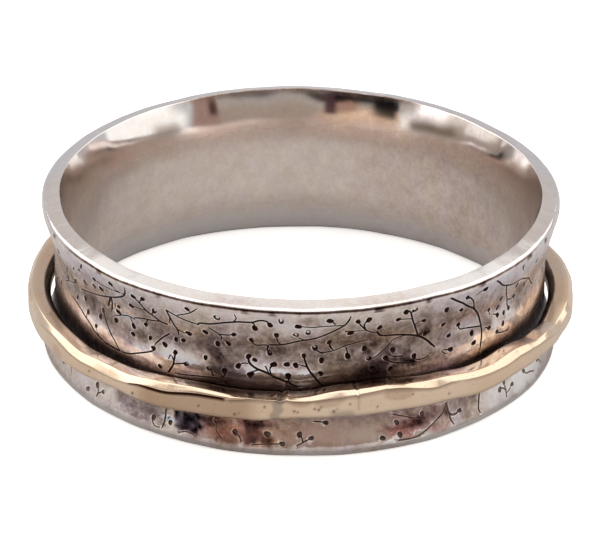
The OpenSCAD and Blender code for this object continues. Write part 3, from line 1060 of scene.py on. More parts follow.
@dataclass
class Band:
    """The flared silver band, one solid with its engraving."""

    profile: BandProfile = field(default_factory=BandProfile)
    columns: int = 480
    rows: int = 33
    uneven: float = 0.016
    # Where the wall's colours start above the lower flare, behind the spinner's foot.
    foot: tuple[float, float] = (-1.75, -1.6)
    # Radii between which the polished flare turns to the sanded bore.
    sanded: tuple[float, float] = (9.4, 9.15)
    # How far inside the rim's radius the outside's knocks start to fade, and where they end.
    sheltered: tuple[float, float] = (0.2, 0.85)
    name: str = "silver_band"

    def wobble(self, angle: Array, height: Array) -> tuple[Array, Array]:
        """How far hand finishing left places at angles and heights from true, outwards and upwards."""
        out, up = (
            sum(share * np.sin(waves * angle + phase + shift * height) for share, waves, phase, shift in rows)
            for rows in (WAVES_OUT, WAVES_UP)
        )
        return self.uneven * out, self.uneven * up * (height / self.profile.rim_z) ** 4 * np.sign(height)

    def outer_tarnish_and_shade(self, angle: Array, along: Array) -> tuple[Array, Array, Array]:
        """Tarnish on the outer wall, with painted shade: blackest behind and above the spinner, where painted
        shade of the gap joins thick tarnish.

        Args:
            angle: Angles round the ring, in radians.
            along: Distances along the wall.

        Returns:
            How dark each place is, tarnish and painted shade together, how red and how blue.
        """
        degrees = (np.degrees(angle) + 180) % 360 - 180
        base = np.interp(
            along,
            [-2.96, -2.3, -1.8, 0.3, 0.8, 1.5, 2.2, 2.7, 2.96],
            [0.20, 0.18, 0.34, 0.36, 0.48, 0.48, 0.34, 0.22, 0.18],
        )
        warp = np.array(
            [
                noise(Vector((1.7 * x, 2.2 * y, 3.0))) + 0.5 * noise(Vector((5.1 * x, 6.6 * y, 9.0)))
                for x, y in zip(angle * self.profile.flat_r, along)
            ]
        )
        knots, *columns = zip(*BLACK_TARNISH_AND_GAP_SHADE)
        edge, soft, depth = (np.interp(degrees, knots, column) for column in columns)
        edge = edge + 0.1 * warp
        above_foot = smooth_step(along, *self.foot)
        # Painted shade: this black above the spinner stands in for the gap's shade and dark reflection, over
        # real tarnish.
        black_and_gap_shade = smooth_step(along, edge + soft, edge - soft) * above_foot
        dark = base * (1 - black_and_gap_shade) + depth * black_and_gap_shade
        # The sulphide is bluer above the spinner, where it is thick, and a little at the sides, and the
        # painted black is blued with it.
        above_spinner = smooth_step(along, 0.4, 0.1) * above_foot * smooth_step(degrees, -42, -52)
        at_sides = smooth_step(apart(degrees, FRONT), 25, 42) * smooth_step(along, 0.9, 1.4)
        blue = np.max([0.42 * above_spinner, 0.6 * black_and_gap_shade, 0.25 * at_sides], axis=0)
        red = np.zeros(len(dark))
        # Painted light and shade: the clouds darken and lighten the wall as well as tarnish it.
        for cloud in TARNISH_AND_REFLECTION_CLOUDS:
            share = cloud.share(degrees, along, warp)
            dark += cloud.dark * share * (1 - black_and_gap_shade)
            red = np.maximum(red, cloud.red * share)
            blue = np.maximum(blue, -cloud.red * share)
        return dark, red, blue

    def inner_tarnish_and_shade(self, rows: int, bore: Array) -> Array:
        """Tarnish on the rims, the inner flares and the bore.

        A fine dark line, a painted reflection, runs below the upper rim's bright edge at the front. The
        mouth's edge is painted dark on the far side, and the flare inside it on the near side, as painted
        shade standing in for dark reflections; the bore is painted a little darker towards the right back.

        Args:
            rows: Number of rows from the upper rim to the lower one.
            bore: Share of the bore at each place, row by row.

        Returns:
            How dark each place is, tarnish and painted shade together.
        """
        degrees = BACK + np.arange(self.columns) * 360 / self.columns
        rows_round = np.tile(degrees, rows)
        rim = 1 - bore
        # Painted shade darkens the bore towards the right back.
        dark = 0.07 - 0.02 * bore + 0.07 * bore * swell(rows_round, 42, 28)
        dark += 0.1 * rim * swell(apart(rows_round, -88), 17, 8)
        dark -= 0.055 * rim * swell(apart(rows_round, -92), 44, 15)
        lower_rim = np.repeat(np.arange(rows) > rows - 14, self.columns)
        dark += 0.08 * lower_rim * smooth_step(apart(rows_round, -95), 45, 20)
        line, edge, mouth, flare = np.zeros((4, rows, 1))
        line[3:7, 0] = (0.35, 0.72, 0.72, 0.3)
        edge[0:5] = 1
        mouth[15:23, 0] = (0.12, 0.25, 0.36, 0.42, 0.44, 0.42, 0.36, 0.2)
        flare[22:31] = 0.28
        off_front = apart(degrees, FRONT)
        knocks = smooth_step(np.array([noise(Vector((0.35 * d, 0.0, 5.0))) for d in degrees]), 0.18, 0.5)
        # Painted shade: the dark line, the far mouth and the near flare stand in for dark reflections.
        return dark + (
            line * smooth_step(off_front, 66, 52)
            + edge * (0.1 + 0.5 * knocks)
            + mouth * smooth_step(off_front, 144, 156)
            + flare * smooth_step(off_front, 90, 60)
        ).ravel()

    def worn(self, angle: Array, along: Array) -> Array:
        """How far the black has been rubbed out of the engraving, at angles in radians."""
        off_front = apart(np.degrees(angle), FRONT)
        return 0.3 * smooth_step(off_front, 38, 62) + 0.36 * smooth_step(along, -1.5, -2.0)

    def wall(self, engraving: VineEngraving) -> tuple[Array, ...]:
        """Meshes the flattened outer wall round the engraving.

        Args:
            engraving: The vine.

        Returns:
            Places, triangles, lift of each place and how much it is polished and lightened by painted
            highlight, and whether each triangle is in a cut.
        """
        width, half = self.profile.length, self.profile.wall_half
        across, along = np.meshgrid(
            np.linspace(0, width, self.columns + 1), np.linspace(-half, half, self.rows), indexing="ij"
        )
        grid = np.stack([across.ravel(), along.ravel()], axis=1)
        on_edge = (
            (grid[:, 0] < TOUCH)
            | (grid[:, 0] > width - TOUCH)
            | (np.abs(grid[:, 1]) > half - TOUCH)
        )
        _, polish_and_highlight, inside = engraving.cut(grid)
        grid = grid[on_edge | ((polish_and_highlight <= 0) & ~inside)]
        points = [Vector(p) for p in grid]
        edges = []
        for line in engraving.outlines():
            start = len(points)
            points.extend(Vector(p) for p in line)
            edges.extend((start + k, start + k + 1) for k in range(len(line) - 1))
        made = delaunay_2d_cdt(points, edges, [], 0, TOUCH, False)
        places = np.array([tuple(v) for v in made[0]])
        triangles = np.array(made[2])
        raised, polish_and_highlight, _ = engraving.cut(places)
        _, _, in_cut = engraving.cut(places[triangles].mean(axis=1))
        return places, triangles, raised, polish_and_highlight, in_cut

    def closed(self, places: Array) -> Array:
        """Closes the cut at the back: its right side takes the numbers of its left side.

        Args:
            places: Places on the flattened wall.

        Returns:
            The number that each place goes by.
        """
        number = np.arange(len(places))
        left = {round(places[k, 1], 5): k for k in np.nonzero(places[:, 0] < TOUCH)[0]}
        for k in np.nonzero(places[:, 0] > self.profile.length - TOUCH)[0]:
            number[k] = left[round(places[k, 1], 5)]
        return number

    def bent(self, places: Array, raised: Array) -> tuple[Array, Array, Array]:
        """Bends the flattened wall to a ring.

        Args:
            places: Places on the flattened wall.
            raised: How far the engraving raises each of them.

        Returns:
            Angle in radians, radius and height of each place.
        """
        radius, height = self.profile.outer(places[:, 1])
        tilt = self.profile.tilt(places[:, 1])
        return (
            math.radians(BACK) + places[:, 0] / self.profile.flat_r,
            radius + raised * np.cos(tilt),
            height - raised * np.sin(tilt) * np.sign(places[:, 1]),
        )

    def inside_faces(self, places: Array, number: Array, section_rows: int) -> list[tuple[int, ...]]:
        """Joins the wall's upper edge over the inside of the ring to its lower edge.

        Args:
            places: Places on the flattened wall.
            number: The number that each of them goes by.
            section_rows: Number of rows of the inside, which are numbered after the wall.

        Returns:
            Four numbers for each face.
        """
        edges = []
        for level in (self.profile.wall_half, -self.profile.wall_half):
            on_level = np.nonzero(np.abs(places[:, 1] - level) < TOUCH)[0]
            order = on_level[np.argsort(places[on_level, 0])]
            edges.append(number[order[:self.columns]])
        inside = len(places) + np.arange(section_rows * self.columns).reshape(section_rows, self.columns)
        rows = np.concatenate([edges[:1], inside, edges[1:]])
        after = np.roll(rows, -1, axis=1)
        quads = np.stack([rows[:-1], after[:-1], after[1:], rows[1:]], axis=2)
        return [tuple(quad) for quad in quads.reshape(-1, 4).tolist()]

    def build(self) -> Object:
        """Builds the band round its engraving.

        Returns:
            The dressed piece.
        """
        profile = self.profile
        engraving = VineEngraving(profile)
        places, triangles, raised, polish_and_highlight, in_cut = self.wall(engraving)
        number = self.closed(places)
        section = profile.inner_half(profile.mouth_round)
        section += [(r, -z) for r, z in reversed(profile.inner_half(profile.foot_round))]
        turn = math.radians(BACK) + np.linspace(0, 2 * math.pi, self.columns, endpoint=False)
        inside = (np.tile(turn, len(section)), *np.repeat(section, self.columns, axis=0).T)
        angle, radius, height = (np.concatenate(both) for both in zip(self.bent(places, raised), inside))
        out, up = self.wobble(angle, height)
        radius, height = radius + out, height + up
        points = np.stack([radius * np.cos(angle), radius * np.sin(angle), height], axis=1)
        faces = number[triangles].tolist()
        faces += self.inside_faces(places, number, len(section))
        cuts = np.zeros(len(faces), int)
        cuts[:len(triangles)] = in_cut

        # The bore is smoother than the outside, which knocks against things.
        inner_radius = radius[len(places):]
        bore = smooth_step(inner_radius, *(profile.rim_r - inset for inset in self.sheltered))
        satin = smooth_step(inner_radius, *self.sanded)
        plain = np.zeros(len(satin))
        wall_angle = angle[:len(places)]
        dark, red, blue = self.outer_tarnish_and_shade(wall_angle, places[:, 1])
        # Each value for the wall and for the inside. The thick black, partly painted shade, is satin, as the
        # bore is.
        values = {
            "handled": (np.ones(len(places)), 1 - bore),
            "polish_and_highlight": (polish_and_highlight, plain),
            "tarnish_and_shade": (dark, self.inner_tarnish_and_shade(len(section), bore) + 0.05 * satin),
            "blush": (red, 0.1 * satin),
            "cold": (blue, plain),
            "satin": (0.6 * smooth_step(blue, 0.42, 0.6), satin),
            "worn": (self.worn(wall_angle, places[:, 1]), plain),
        }
        used = np.zeros(len(points), bool)
        used[[k for face in faces for k in face]] = True
        renumber = (np.cumsum(used) - 1).tolist()
        piece = mesh_object(
            self.name,
            points[used],
            [[renumber[k] for k in face] for face in faces],
            [TarnishedSilver().material(), BlackenedRecess().material()],
            cuts,
            {key: np.concatenate(both)[used] for key, both in values.items()},
        )
        self.sharpen(piece)
        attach(piece, Body.BAND.value)
        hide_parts("band")
        LOG.info("vine: %d twigs and %d berries", len(engraving.stems), len(engraving.berries))
        return piece

    @staticmethod
    def sharpen(piece: Object) -> None:
        """Keeps the edge between each cut and the plain wall crisp."""
        mesh = piece.data
        cut, totals = np.zeros((2, len(mesh.polygons)), np.int32)
        loop_edges = np.zeros(len(mesh.loops), np.int32)
        mesh.polygons.foreach_get("material_index", cut)
        mesh.polygons.foreach_get("loop_total", totals)
        mesh.loops.foreach_get("edge_index", loop_edges)
        in_cut = np.bincount(loop_edges, weights=np.repeat(cut, totals), minlength=len(mesh.edges))
        mesh.edges.foreach_set("use_edge_sharp", in_cut == 1)
        mesh.update()


# The spinner's dents, a row for every 10 degrees from the left side by the front, the right side
# and the back: lift of the top, drop of the bevelled edge, lift of the underside, all as shares
# of the height, and push of the front face as a share of the thickness.
DENTS = (
    (-0.26, 0.18, -0.24, -0.04), (-0.22, 0.20, -0.28, 0.00), (-0.20, 0.22, -0.28, 0.02),
    (-0.14, 0.24, -0.24, 0.01), (-0.20, 0.22, -0.16, 0.00), (-0.18, 0.28, -0.06, 0.03),
    (-0.10, 0.22, -0.18, 0.02), (0.00, 0.07, -0.11, -0.02), (-0.02, 0.04, -0.04, 0.00),
    (0.04, 0.04, 0.14, 0.00), (0.30, 0.06, 0.15, 0.03), (0.33, 0.05, 0.17, 0.02),
    (0.14, 0.17, 0.08, 0.00), (-0.02, 0.10, -0.05, 0.03), (0.03, 0.21, 0.02, 0.05),
    (-0.14, 0.16, 0.04, 0.04), (-0.26, 0.16, -0.09, 0.06), (-0.22, 0.22, -0.16, 0.07),
    (-0.24, 0.18, -0.18, 0.04), (-0.34, 0.14, -0.26, -0.02), (-0.42, 0.10, -0.32, -0.08),
    (-0.44, 0.14, -0.36, -0.10), (-0.36, 0.18, -0.34, -0.08), (-0.28, 0.12, -0.28, -0.06),
    (-0.26, 0.08, -0.24, -0.10), (-0.32, 0.14, -0.28, -0.06), (-0.38, 0.20, -0.34, -0.04),
    (-0.32, 0.22, -0.36, -0.08), (-0.24, 0.16, -0.30, -0.10), (-0.26, 0.10, -0.26, -0.06),
    (-0.34, 0.12, -0.30, -0.04), (-0.40, 0.18, -0.34, -0.08), (-0.36, 0.22, -0.36, -0.10),
    (-0.32, 0.18, -0.32, -0.08), (-0.36, 0.12, -0.30, -0.04), (-0.32, 0.16, -0.28, -0.01),
)


# Small pits in the spinner's front face: angle, share of the height up the face, and size.
PITS = (
    (-90.8, 0.42, 0.05), (-90.1, 0.36, 0.04), (-86.7, 0.55, 0.045), (-85.9, 0.48, 0.055), (-85.4, 0.62, 0.04),
    (-82.9, 0.33, 0.055), (-82.2, 0.45, 0.035), (-102.8, 0.25, 0.055), (-101.9, 0.32, 0.035),
    (-96.7, 0.68, 0.05), (-125.5, 0.33, 0.055), (-79.6, 0.62, 0.04), (-74.0, 0.3, 0.04), (-66.5, 0.7, 0.035),
    (-58.0, 0.4, 0.04), (-110.5, 0.45, 0.04), (-138.0, 0.6, 0.045),
)


# Flats of the front face with painted shade, darker where they reflect darker things: angle, half width in
# degrees, share of the height up the face, half height as a share, and how dark.
SHADED_FLATS = (
    (-111.5, 12.5, 0.5, 2.4, 1.0), (-89.5, 2.5, 1.05, 0.36, 0.8), (-83.8, 3.4, 1.05, 0.48, 0.7),
    (-77.8, 0.3, 0.72, 0.5, 0.6), (-69.5, 3.2, 0.8, 0.32, 0.6), (-150.0, 2.2, 0.3, 0.4, 0.5),
)


@dataclass
class Spinner:
    """The loose gold ring, hammered flat and soldered shut."""

    bore_r: float = 10.08
    thick: float = 0.95
    face_r: float = 11.0
    tall: float = 1.0
    middle_z: float = -0.86
    bevel: float = 0.18
    foot_bevel: float = 0.14
    bore_bevel: float = 0.25
    stations: int = 1440
    first_dent: float = 180.0
    seam: float = -93.2
    bead_height: float = 0.05
    notch_depth: float = 0.07
    nick: float = -78.0
    nick_depth: float = 0.05
    turned_down: float = 0.035
    fold: tuple[float, float] = (-126.0, -105.5)
    fold_depth: float = 0.025
    facet_depth: float = 0.04
    ridge_depth: float = 0.12
    # Darkness of the gap on the inner top: grime with painted shade.
    gap_dirt_and_shade: float = 0.74
    seed: int = 5
    name: str = "gold_spinner"

    def dents(self, angle: Array) -> Array:
        """The dents at angles, eased from each row to the next.

        Args:
            angle: Angles in degrees.

        Returns:
            One row of four shares for each angle.
        """
        rows = np.array(DENTS)
        place = ((angle - self.first_dent) % 360) / 360 * len(rows)
        row = np.floor(place).astype(int)
        ease = ((1 - np.cos(np.pi * (place - row))) / 2)[:, None]
        return rows[row % len(rows)] * (1 - ease) + rows[(row + 1) % len(rows)] * ease

    def facets(self, angle: Array, shift: int) -> Array:
        """Small flats that the hammer left round the ring, as lifts from -1 to 1."""
        dice = random.Random(self.seed + shift)
        edges = [0.0]
        while edges[-1] < 354:
            edges.append(edges[-1] + dice.uniform(3.5, 10))
        edges[-1] = 360.0
        lifts = [dice.uniform(-1, 1) for _ in edges]
        lifts[-1] = lifts[0]
        return np.interp((angle - FRONT) % 360, edges, lifts)

    def section(self, angle: Array) -> tuple[list[tuple[Array, Array]], int, int]:
        """The spinner's section at each angle.

        Args:
            angle: Angles in degrees.

        Returns:
            Radii and heights of each point of the section, from the foot of the bore by the
            underside, the front face, the bevel and the top back to the bore, and the numbers of
            the front face's lowest point and of the first one of the ridge above it.
        """
        top_lift, drop, foot_lift, push = self.dents(angle).T
        top = self.middle_z + self.tall * (0.5 + top_lift)
        ridge = top - self.tall * drop
        foot = self.middle_z - self.tall * (0.5 - foot_lift)
        face = self.bore_r + self.thick * (1 + push) + self.facet_depth * self.facets(angle, 0)
        ridge = ridge + self.ridge_depth * self.facets(angle, 1)
        top = top + 0.6 * self.ridge_depth * self.facets(angle, 2)
        # A bead of solder stands beside the notch of the joint, and a nick crosses the ridge.
        bead = self.bead_height * swell(angle, self.seam + 0.9, 0.5)
        bead = bead - self.notch_depth * swell(angle, self.seam - 0.5, 0.45)
        nick = self.nick_depth * swell(angle, self.nick, 0.28)
        top = top + bead - nick
        # The bevel is turned down a little further along the front.
        turned_down = self.turned_down * smooth_step(apart(angle, -86), 26, 16)
        ridge = ridge + 0.6 * bead - nick - turned_down
        bore = np.full_like(angle, self.bore_r)
        # Radius and height of each corner, how far its rounding reaches, its points, and into how
        # many parts the side after it is divided.
        corners = [
            (bore, foot + self.bore_bevel, 0.04, 2, 1),
            (bore + self.bore_bevel, foot, 0.08, 3, 1),
            (face - self.foot_bevel, foot, 0.08, 3, 1),
            (face, foot + self.foot_bevel, 0.1, 4, 9),
            (face, ridge, self.shoulder(angle), 6, 3),
            (face - self.bevel, top, 0.05, 4, 2),
            (bore + self.bore_bevel, top, 0.08, 3, 1),
            (bore, top - self.bore_bevel, 0.04, 2, 1),
        ]
        places = [np.stack(corner[:2], axis=1) for corner in corners]
        points, firsts = [], []
        for k, (_, _, rounding, steps, parts) in enumerate(corners):
            after = places[(k + 1) % len(places)]
            firsts.append(len(points))
            points += self.soften(places[k - 1], places[k], after, rounding, steps)
            last = points[-1]
            points += [last + (after - last) * (0.8 * j / parts) for j in range(1, parts)]
        return [(p[:, 0], p[:, 1]) for p in points], firsts[3], firsts[4]

    def shoulder(self, angle: Array) -> Array:
        """Rounding between the bevel and the front face, larger where the hammer turned it over."""
        return 0.03 + 0.07 * smooth_step(angle, -125, -121) * smooth_step(angle, -98, -102)

    def fold_shade(self, angle: Array, past: int) -> Array:
        """How dark the fold right under the bevel is painted: the hammer's crease there and thin lines along
        the front and the sides, as painted shadow and dark reflection.

        Args:
            angle: Angles in degrees.
            past: Number of rows from the first one of the ridge.

        Returns:
            Shares from 0 to 1.
        """
        if not 0 <= past <= 2:
            return np.zeros_like(angle)
        first, last = self.fold
        fold = smooth_step(angle, first - 1.5, first) * smooth_step(angle, last + 1.5, last)
        # Painted shadow lines under the ridge.
        fine = 0.55 * smooth_step(angle, last, last + 2) * smooth_step(angle, -54, -58)
        off_front = apart(angle, FRONT)
        side = 0.32 * smooth_step(off_front, 34, 38) * smooth_step(off_front, 74, 68)
        return np.maximum(fold, np.maximum(fine, side) if past < 2 else 0)

    def pitted(self, angle: Array, level: Array, tall: Array) -> Array:
        """How deep the pits are at places on the front face.

        Args:
            angle: Angles in degrees.
            level: Share of the height up the face.
            tall: Height of the face.

        Returns:
            Shares from 0 to 1.
        """
        deep = np.zeros_like(angle)
        for at, share, size in PITS:
            gap = np.hypot(np.radians(angle - at) * self.face_r, (level - share) * tall)
            deep = np.maximum(deep, swell(gap, 0, size))
        return deep

    @staticmethod
    def painted_shade_at(angle: Array, level: Array) -> Array:
        """How much painted shade the front face has, at angles and at shares of its height."""
        painted_shade = np.zeros_like(angle)
        for at, half_wide, share, half_tall, strength in SHADED_FLATS:
            gap = np.hypot((angle - at) / half_wide, (level - share) / half_tall)
            painted_shade = np.maximum(painted_shade, strength * smooth_step(gap, 1.2, 0.8))
        return painted_shade

    def soldered(self, angle: Array, level: Array, radius: Array, height: Array) -> Array:
        """How far solder covers the gold, beside the joint and where some of it ran along the foot.

        Args:
            angle: Angles in degrees.
            level: Share of the height up the front face.
            radius: Radii.
            height: Heights.

        Returns:
            Shares from 0 to 1.
        """
        outside = smooth_step(radius, self.bore_r + 0.5, self.bore_r + 0.8)
        middle = self.seam - 0.6 - 0.9 * (1 - level) + 0.25 * np.sin(14 * height)
        patch = smooth_step(np.abs(angle - middle), 1.5, 0.6)
        stray = smooth_step(np.abs(angle + 81.5 - 0.5 * np.sin(11 * height)), 3.2, 1.6)
        return np.maximum(patch, 0.8 * stray * smooth_step(level, 0.45, 0.2)) * outside

    @staticmethod
    def soften(
        before: Array, here: Array, after: Array, rounding: Array | float, steps: int
    ) -> list[Array]:
        """Rounds one corner of every section.

        Args:
            before: The corners before it.
            here: The corners.
            after: The corners after it.
            rounding: How far from the corner the rounding starts.
            steps: Number of points.

        Returns:
            A list of the points, each for all sections.
        """
        reach = np.broadcast_to(rounding, here.shape[:1])[:, None]
        ends = []
        for other in (before, after):
            away = other - here
            length = np.linalg.norm(away, axis=1)[:, None]
            ends.append(here + away / length * np.minimum(reach, 0.42 * length))
        start, end = ends
        return [
            (1 - t) ** 2 * start + 2 * t * (1 - t) * here + t ** 2 * end for t in np.linspace(0, 1, steps)
        ]

    def build(self) -> Object:
        """Builds the spinner.

        Returns:
            The dressed piece.
        """
        angle = BACK + 360 * np.arange(self.stations) / self.stations
        turn = np.radians(angle)
        section, face_row, ridge_row = self.section(angle)
        foot, ridge = section[face_row][1], section[ridge_row][1]
        rings, solder, pit_and_shade, painted_shade = [], [], [], []
        for row, (radius, height) in enumerate(section):
            level = (height - foot) / (ridge - foot)
            dark = self.fold_shade(angle, row - ridge_row)
            if face_row <= row <= ridge_row:
                dark = np.maximum(dark, self.pitted(angle, level, ridge - foot))
            radius = radius - self.fold_depth * dark
            # Grime and painted shade of the gap lie on the inner part of the top, most at the front.
            top_inside = smooth_step(radius, self.bore_r + 0.8, self.bore_r + 0.6) * (height > self.middle_z)
            front = 0.3 + 0.7 * smooth_step(apart(angle, FRONT), 30, 16)
            rings.append(np.stack([radius * np.cos(turn), radius * np.sin(turn), height], axis=1))
            solder.append(self.soldered(angle, level, radius, height))
            pit_and_shade.append(np.maximum(dark, self.gap_dirt_and_shade * front * top_inside))
            # Painted shade of the hammered flats, for their darker reflections.
            painted_shade.append(self.painted_shade_at(angle, level) * (row <= ridge_row))
        here = np.arange(self.stations * len(section)).reshape(self.stations, len(section))
        there = np.roll(here, -1, axis=0)
        faces = np.stack([here, there, np.roll(there, -1, axis=1), np.roll(here, -1, axis=1)], axis=2)
        values = {"solder": solder, "pit_and_shade": pit_and_shade, "painted_shade": painted_shade}
        piece = mesh_object(
            self.name,
            np.stack(rings, axis=1).reshape(-1, 3),
            faces.reshape(-1, 4).tolist(),
            [HammeredGold().material()],
            None,
            {key: np.stack(rows, axis=1).ravel() for key, rows in values.items()},
        )
        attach(piece, Body.SPINNER.value)
        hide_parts("spinner")
        return piece


@dataclass(frozen=True)
class Card:
    """A soft-edged panel of the studio, as the ring sees it.

    Azimuth -90 is towards the camera, 0 is right of it and 180 is left.
    """

    azimuth: float
    elevation: float
    wide: float
    tall: float
    colour: str
    power: float
    soft: float

    def share(self, azimuth: Array, elevation: Array) -> Array:
        """How much of the panel is seen in each direction, from 0 to 1."""
        shares = (
            smooth_step(off, size / 2 + self.soft / 2, size / 2 - self.soft / 2)
            for off, size in (
                (apart(azimuth, self.azimuth), self.wide),
                (np.abs(elevation - self.elevation), self.tall),
            )
        )
        return math.prod(shares)


# Each panel over the ones before it: azimuth, elevation, width and height in degrees, colour,
# power and width of the soft edge.
CARDS = (
    (0, 90, 720, 76, "#FFFFFF", 1.5, 14),
    (90, 30, 110, 22, "#CFC8C4", 1.0, 8),
    (90, 52, 130, 26, "#FFFBF8", 0.97, 10),
    (166, 32, 88, 62, "#FFFEFC", 1.8, 8),
    (20, 34, 84, 56, "#FFFEFC", 1.5, 8),
    (90, 5, 150, 30, "#C9C8CC", 1.0, 8),
    (-170.5, 2, 66, 22, "#FFF8F3", 1.08, 4),
    (-8, 2, 46, 22, "#FFFCF8", 1.15, 6),
    (-166, 4.5, 20, 8, "#B5A79B", 1.0, 3),
    (176, 0.5, 32, 8, "#A09184", 1.0, 1.5),
    (-157, 2, 26, 16, "#756659", 1.0, 6),
    (-20, 1, 16, 12, "#B5A79B", 1.0, 6),
    (-92, 34, 112, 38, "#A8A19C", 1.0, 8),
    (-71, 25.5, 70, 9, "#F4EBE5", 1.35, 4),
    (-85, 4, 100, 24, "#A7978B", 1.0, 6),
    (-80, 21.3, 56, 6, "#3E322E", 1.0, 1.2),
    (-43, 12, 15, 20, "#A0847A", 1.0, 3),
    (-47, 15, 6, 6, "#4A3230", 1.0, 4),
    (-119, 9.5, 36, 10, "#EACBB0", 1.05, 5),
    (-111, 16.8, 15, 8, "#A98675", 1.0, 4),
    (-104.5, 17, 5, 12, "#4A3238", 1.0, 1.6),
    (-112, 21.4, 12, 6, "#120C0E", 1.0, 1.0),
    (-121, 20.8, 9, 6.6, "#0A080D", 1.0, 1.5),
    (-130, 13.5, 10, 7, "#3A342E", 1.0, 5),
    (-131, 19.3, 11.6, 9.6, "#050508", 1.0, 1.2),
)


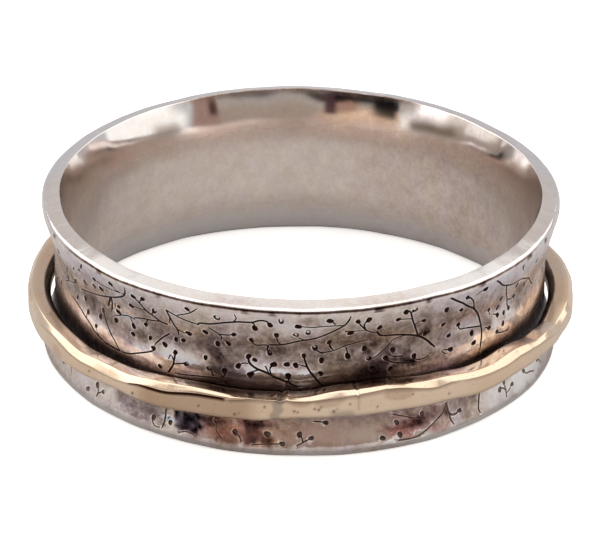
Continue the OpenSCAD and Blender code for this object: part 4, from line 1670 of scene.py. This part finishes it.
@dataclass
class Studio:
    """A pale floor, a soft light overhead, panels for the metal to reflect, and the camera."""

    floor_size: float = 600.0
    floor_colour: str = "#F7F5F3"
    floor_glow: float = 0.6
    mirrored_colour: str = "#CDCBCA"
    mirrored_below: float = 0.02
    dome_radius: float = 420.0
    dome_foot: float = -12.0
    base_colour: str = "#CCCAC9"
    camera_distance: float = 178.6
    camera_elevation: float = 26.7175
    camera_roll: float = 0.562
    lens: float = 264.8
    aim_below: float = 0.29
    aim_right: float = 0.014
    lamp_place: tuple[float, float, float] = (-30, 60, 220)
    lamp_size: float = 160.0
    lamp_watts: float = 0.12
    lamp_colour: str = "#FFFBF6"

    def build(self) -> None:
        """Builds the floor, the dome, the lights and the camera."""
        self.camera()
        self.floor("floor_seen", self.floor_colour, Rays.CAMERA, 0.0)
        self.floor("floor_mirrored", self.mirrored_colour, Rays.ALL_BUT_CAMERA, self.mirrored_below)
        self.dome()
        self.light()
        view = bpy.context.scene.view_settings
        view.view_transform = "Standard"
        view.look = "None"
        view.exposure = 0.0
        view.gamma = 1.0

    def camera(self) -> None:
        """Places the camera at the photograph's viewing angle."""
        elevation = math.radians(self.camera_elevation)
        back = Vector((0, -math.cos(elevation), math.sin(elevation)))
        roll = Matrix.Rotation(math.radians(self.camera_roll), 3, back)
        up = roll @ Vector((0, math.sin(elevation), math.cos(elevation)))
        right = roll @ Vector((1, 0, 0))
        place = back * self.camera_distance
        target = right * self.aim_right - up * self.aim_below
        look = (place - target).normalized()
        side = up.cross(look).normalized()
        turned = Matrix((side, look.cross(side), look)).transposed().to_4x4()
        data = bpy.data.cameras.new("camera")
        data.sensor_width = 36.0
        data.lens = self.lens
        data.clip_start = 0.001
        data.clip_end = 3.0
        camera = bpy.data.objects.new("camera", data)
        camera.matrix_world = Matrix.Translation(place * MM) @ turned
        bpy.context.scene.collection.objects.link(camera)
        bpy.context.scene.camera = camera

    @staticmethod
    def put(piece: Object, rays: Rays) -> None:
        """Makes a piece part of the studio, seen by some kinds of ray."""
        for kind in ("camera", "diffuse", "glossy", "transmission", "volume_scatter", "shadow"):
            setattr(piece, f"visible_{kind}", kind in rays.value)
        report(piece)

    def floor(self, name: str, colour: str, rays: Rays, below: float) -> None:
        """Lays a square floor under the ring, in matt paper.

        Args:
            name: The floor's name.
            colour: Its sRGB colour.
            rays: What sees it.
            below: How far it lies below the ring's lower rim.
        """
        material, _, shader, _ = new_material(name + "_matt_paper")
        set_inputs(shader, {"Base Color": linear(colour), "Roughness": 0.9, "Specular IOR Level": 0.1})
        if rays is Rays.CAMERA:
            set_inputs(shader, {"Emission Color": linear(colour), "Emission Strength": self.floor_glow})
        half = self.floor_size / 2
        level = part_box("band")[0].z / MM - below
        corners = np.array([(x * half, y * half, level) for x, y in ((-1, -1), (1, -1), (1, 1), (-1, 1))])
        self.put(mesh_object(name, corners, [(0, 1, 2, 3)], [material]), rays)

    def dome(self) -> None:
        """Paints the panels on a dome that only reflections see."""
        azimuth, elevation = np.meshgrid(np.arange(360.0), np.arange(self.dome_foot, 91.0))
        rows, columns = azimuth.shape
        az, el = np.radians(azimuth), np.radians(elevation)
        points = np.stack([np.cos(el) * np.cos(az), np.cos(el) * np.sin(az), np.sin(el)], axis=2)
        colour = np.ones((rows, columns, 4)) * linear(self.base_colour)
        for card in (Card(*row) for row in CARDS):
            share = card.share(azimuth, elevation)[..., None]
            colour = colour * (1 - share) + np.array(linear(card.colour)) * card.power * share
        here = np.arange((rows - 1) * columns).reshape(rows - 1, columns)
        after = np.roll(here, -1, axis=1)
        faces = np.stack([here[:-1], after[:-1], after[1:], here[1:]], axis=2).reshape(-1, 4).tolist()
        # The last row is one point, the zenith.
        zenith = (rows - 1) * columns
        faces += [(k, following, zenith) for k, following in zip(here[-1].tolist(), after[-1].tolist())]
        material = bpy.data.materials.new("dome_of_panels")
        tree = empty_tree(material)
        paint = add_node(tree, "ShaderNodeAttribute", attribute_name="panels")
        glow = add_node(tree, "ShaderNodeEmission", {"Color": paint, "Strength": 1.0})
        add_node(tree, "ShaderNodeOutputMaterial", {"Surface": glow})
        material.cycles.emission_sampling = "NONE"
        seen = points.reshape(-1, 3)[:zenith + 1] * self.dome_radius
        piece = mesh_object("dome", seen, faces, [material])
        attribute = piece.data.attributes.new("panels", "FLOAT_COLOR", "POINT")
        attribute.data.foreach_set("color", colour.reshape(-1, 4)[:zenith + 1].astype(np.float32).ravel())
        self.put(piece, Rays.REFLECTED)

    def light(self) -> None:
        """Lights the floor evenly, with a soft box overhead for the ring's shadow."""
        world = bpy.data.worlds.new("white_room")
        tree = empty_tree(world)
        ground = add_node(tree, "ShaderNodeBackground", {"Color": (1, 1, 1, 1), "Strength": 1.0})
        add_node(tree, "ShaderNodeOutputWorld", {"Surface": ground})
        bpy.context.scene.world = world
        data = bpy.data.lights.new("soft_box", "AREA")
        data.shape = "DISK"
        data.size = self.lamp_size * MM
        data.energy = self.lamp_watts
        data.color = linear(self.lamp_colour)[:3]
        lamp = bpy.data.objects.new("soft_box", data)
        lamp.location = Vector(self.lamp_place) * MM
        lamp.rotation_mode = "QUATERNION"
        lamp.rotation_quaternion = lamp.location.to_track_quat("Z", "Y")
        lamp.visible_glossy = False
        bpy.context.scene.collection.objects.link(lamp)


def main() -> None:
    """Builds the studio, the band and the spinner, and reports each piece."""
    logging.basicConfig(level=logging.INFO, format="%(name)s %(message)s")
    Studio().build()
    for part in (Band(), Spinner()):
        report(part.build())


if __name__ == "__main__":
    main()
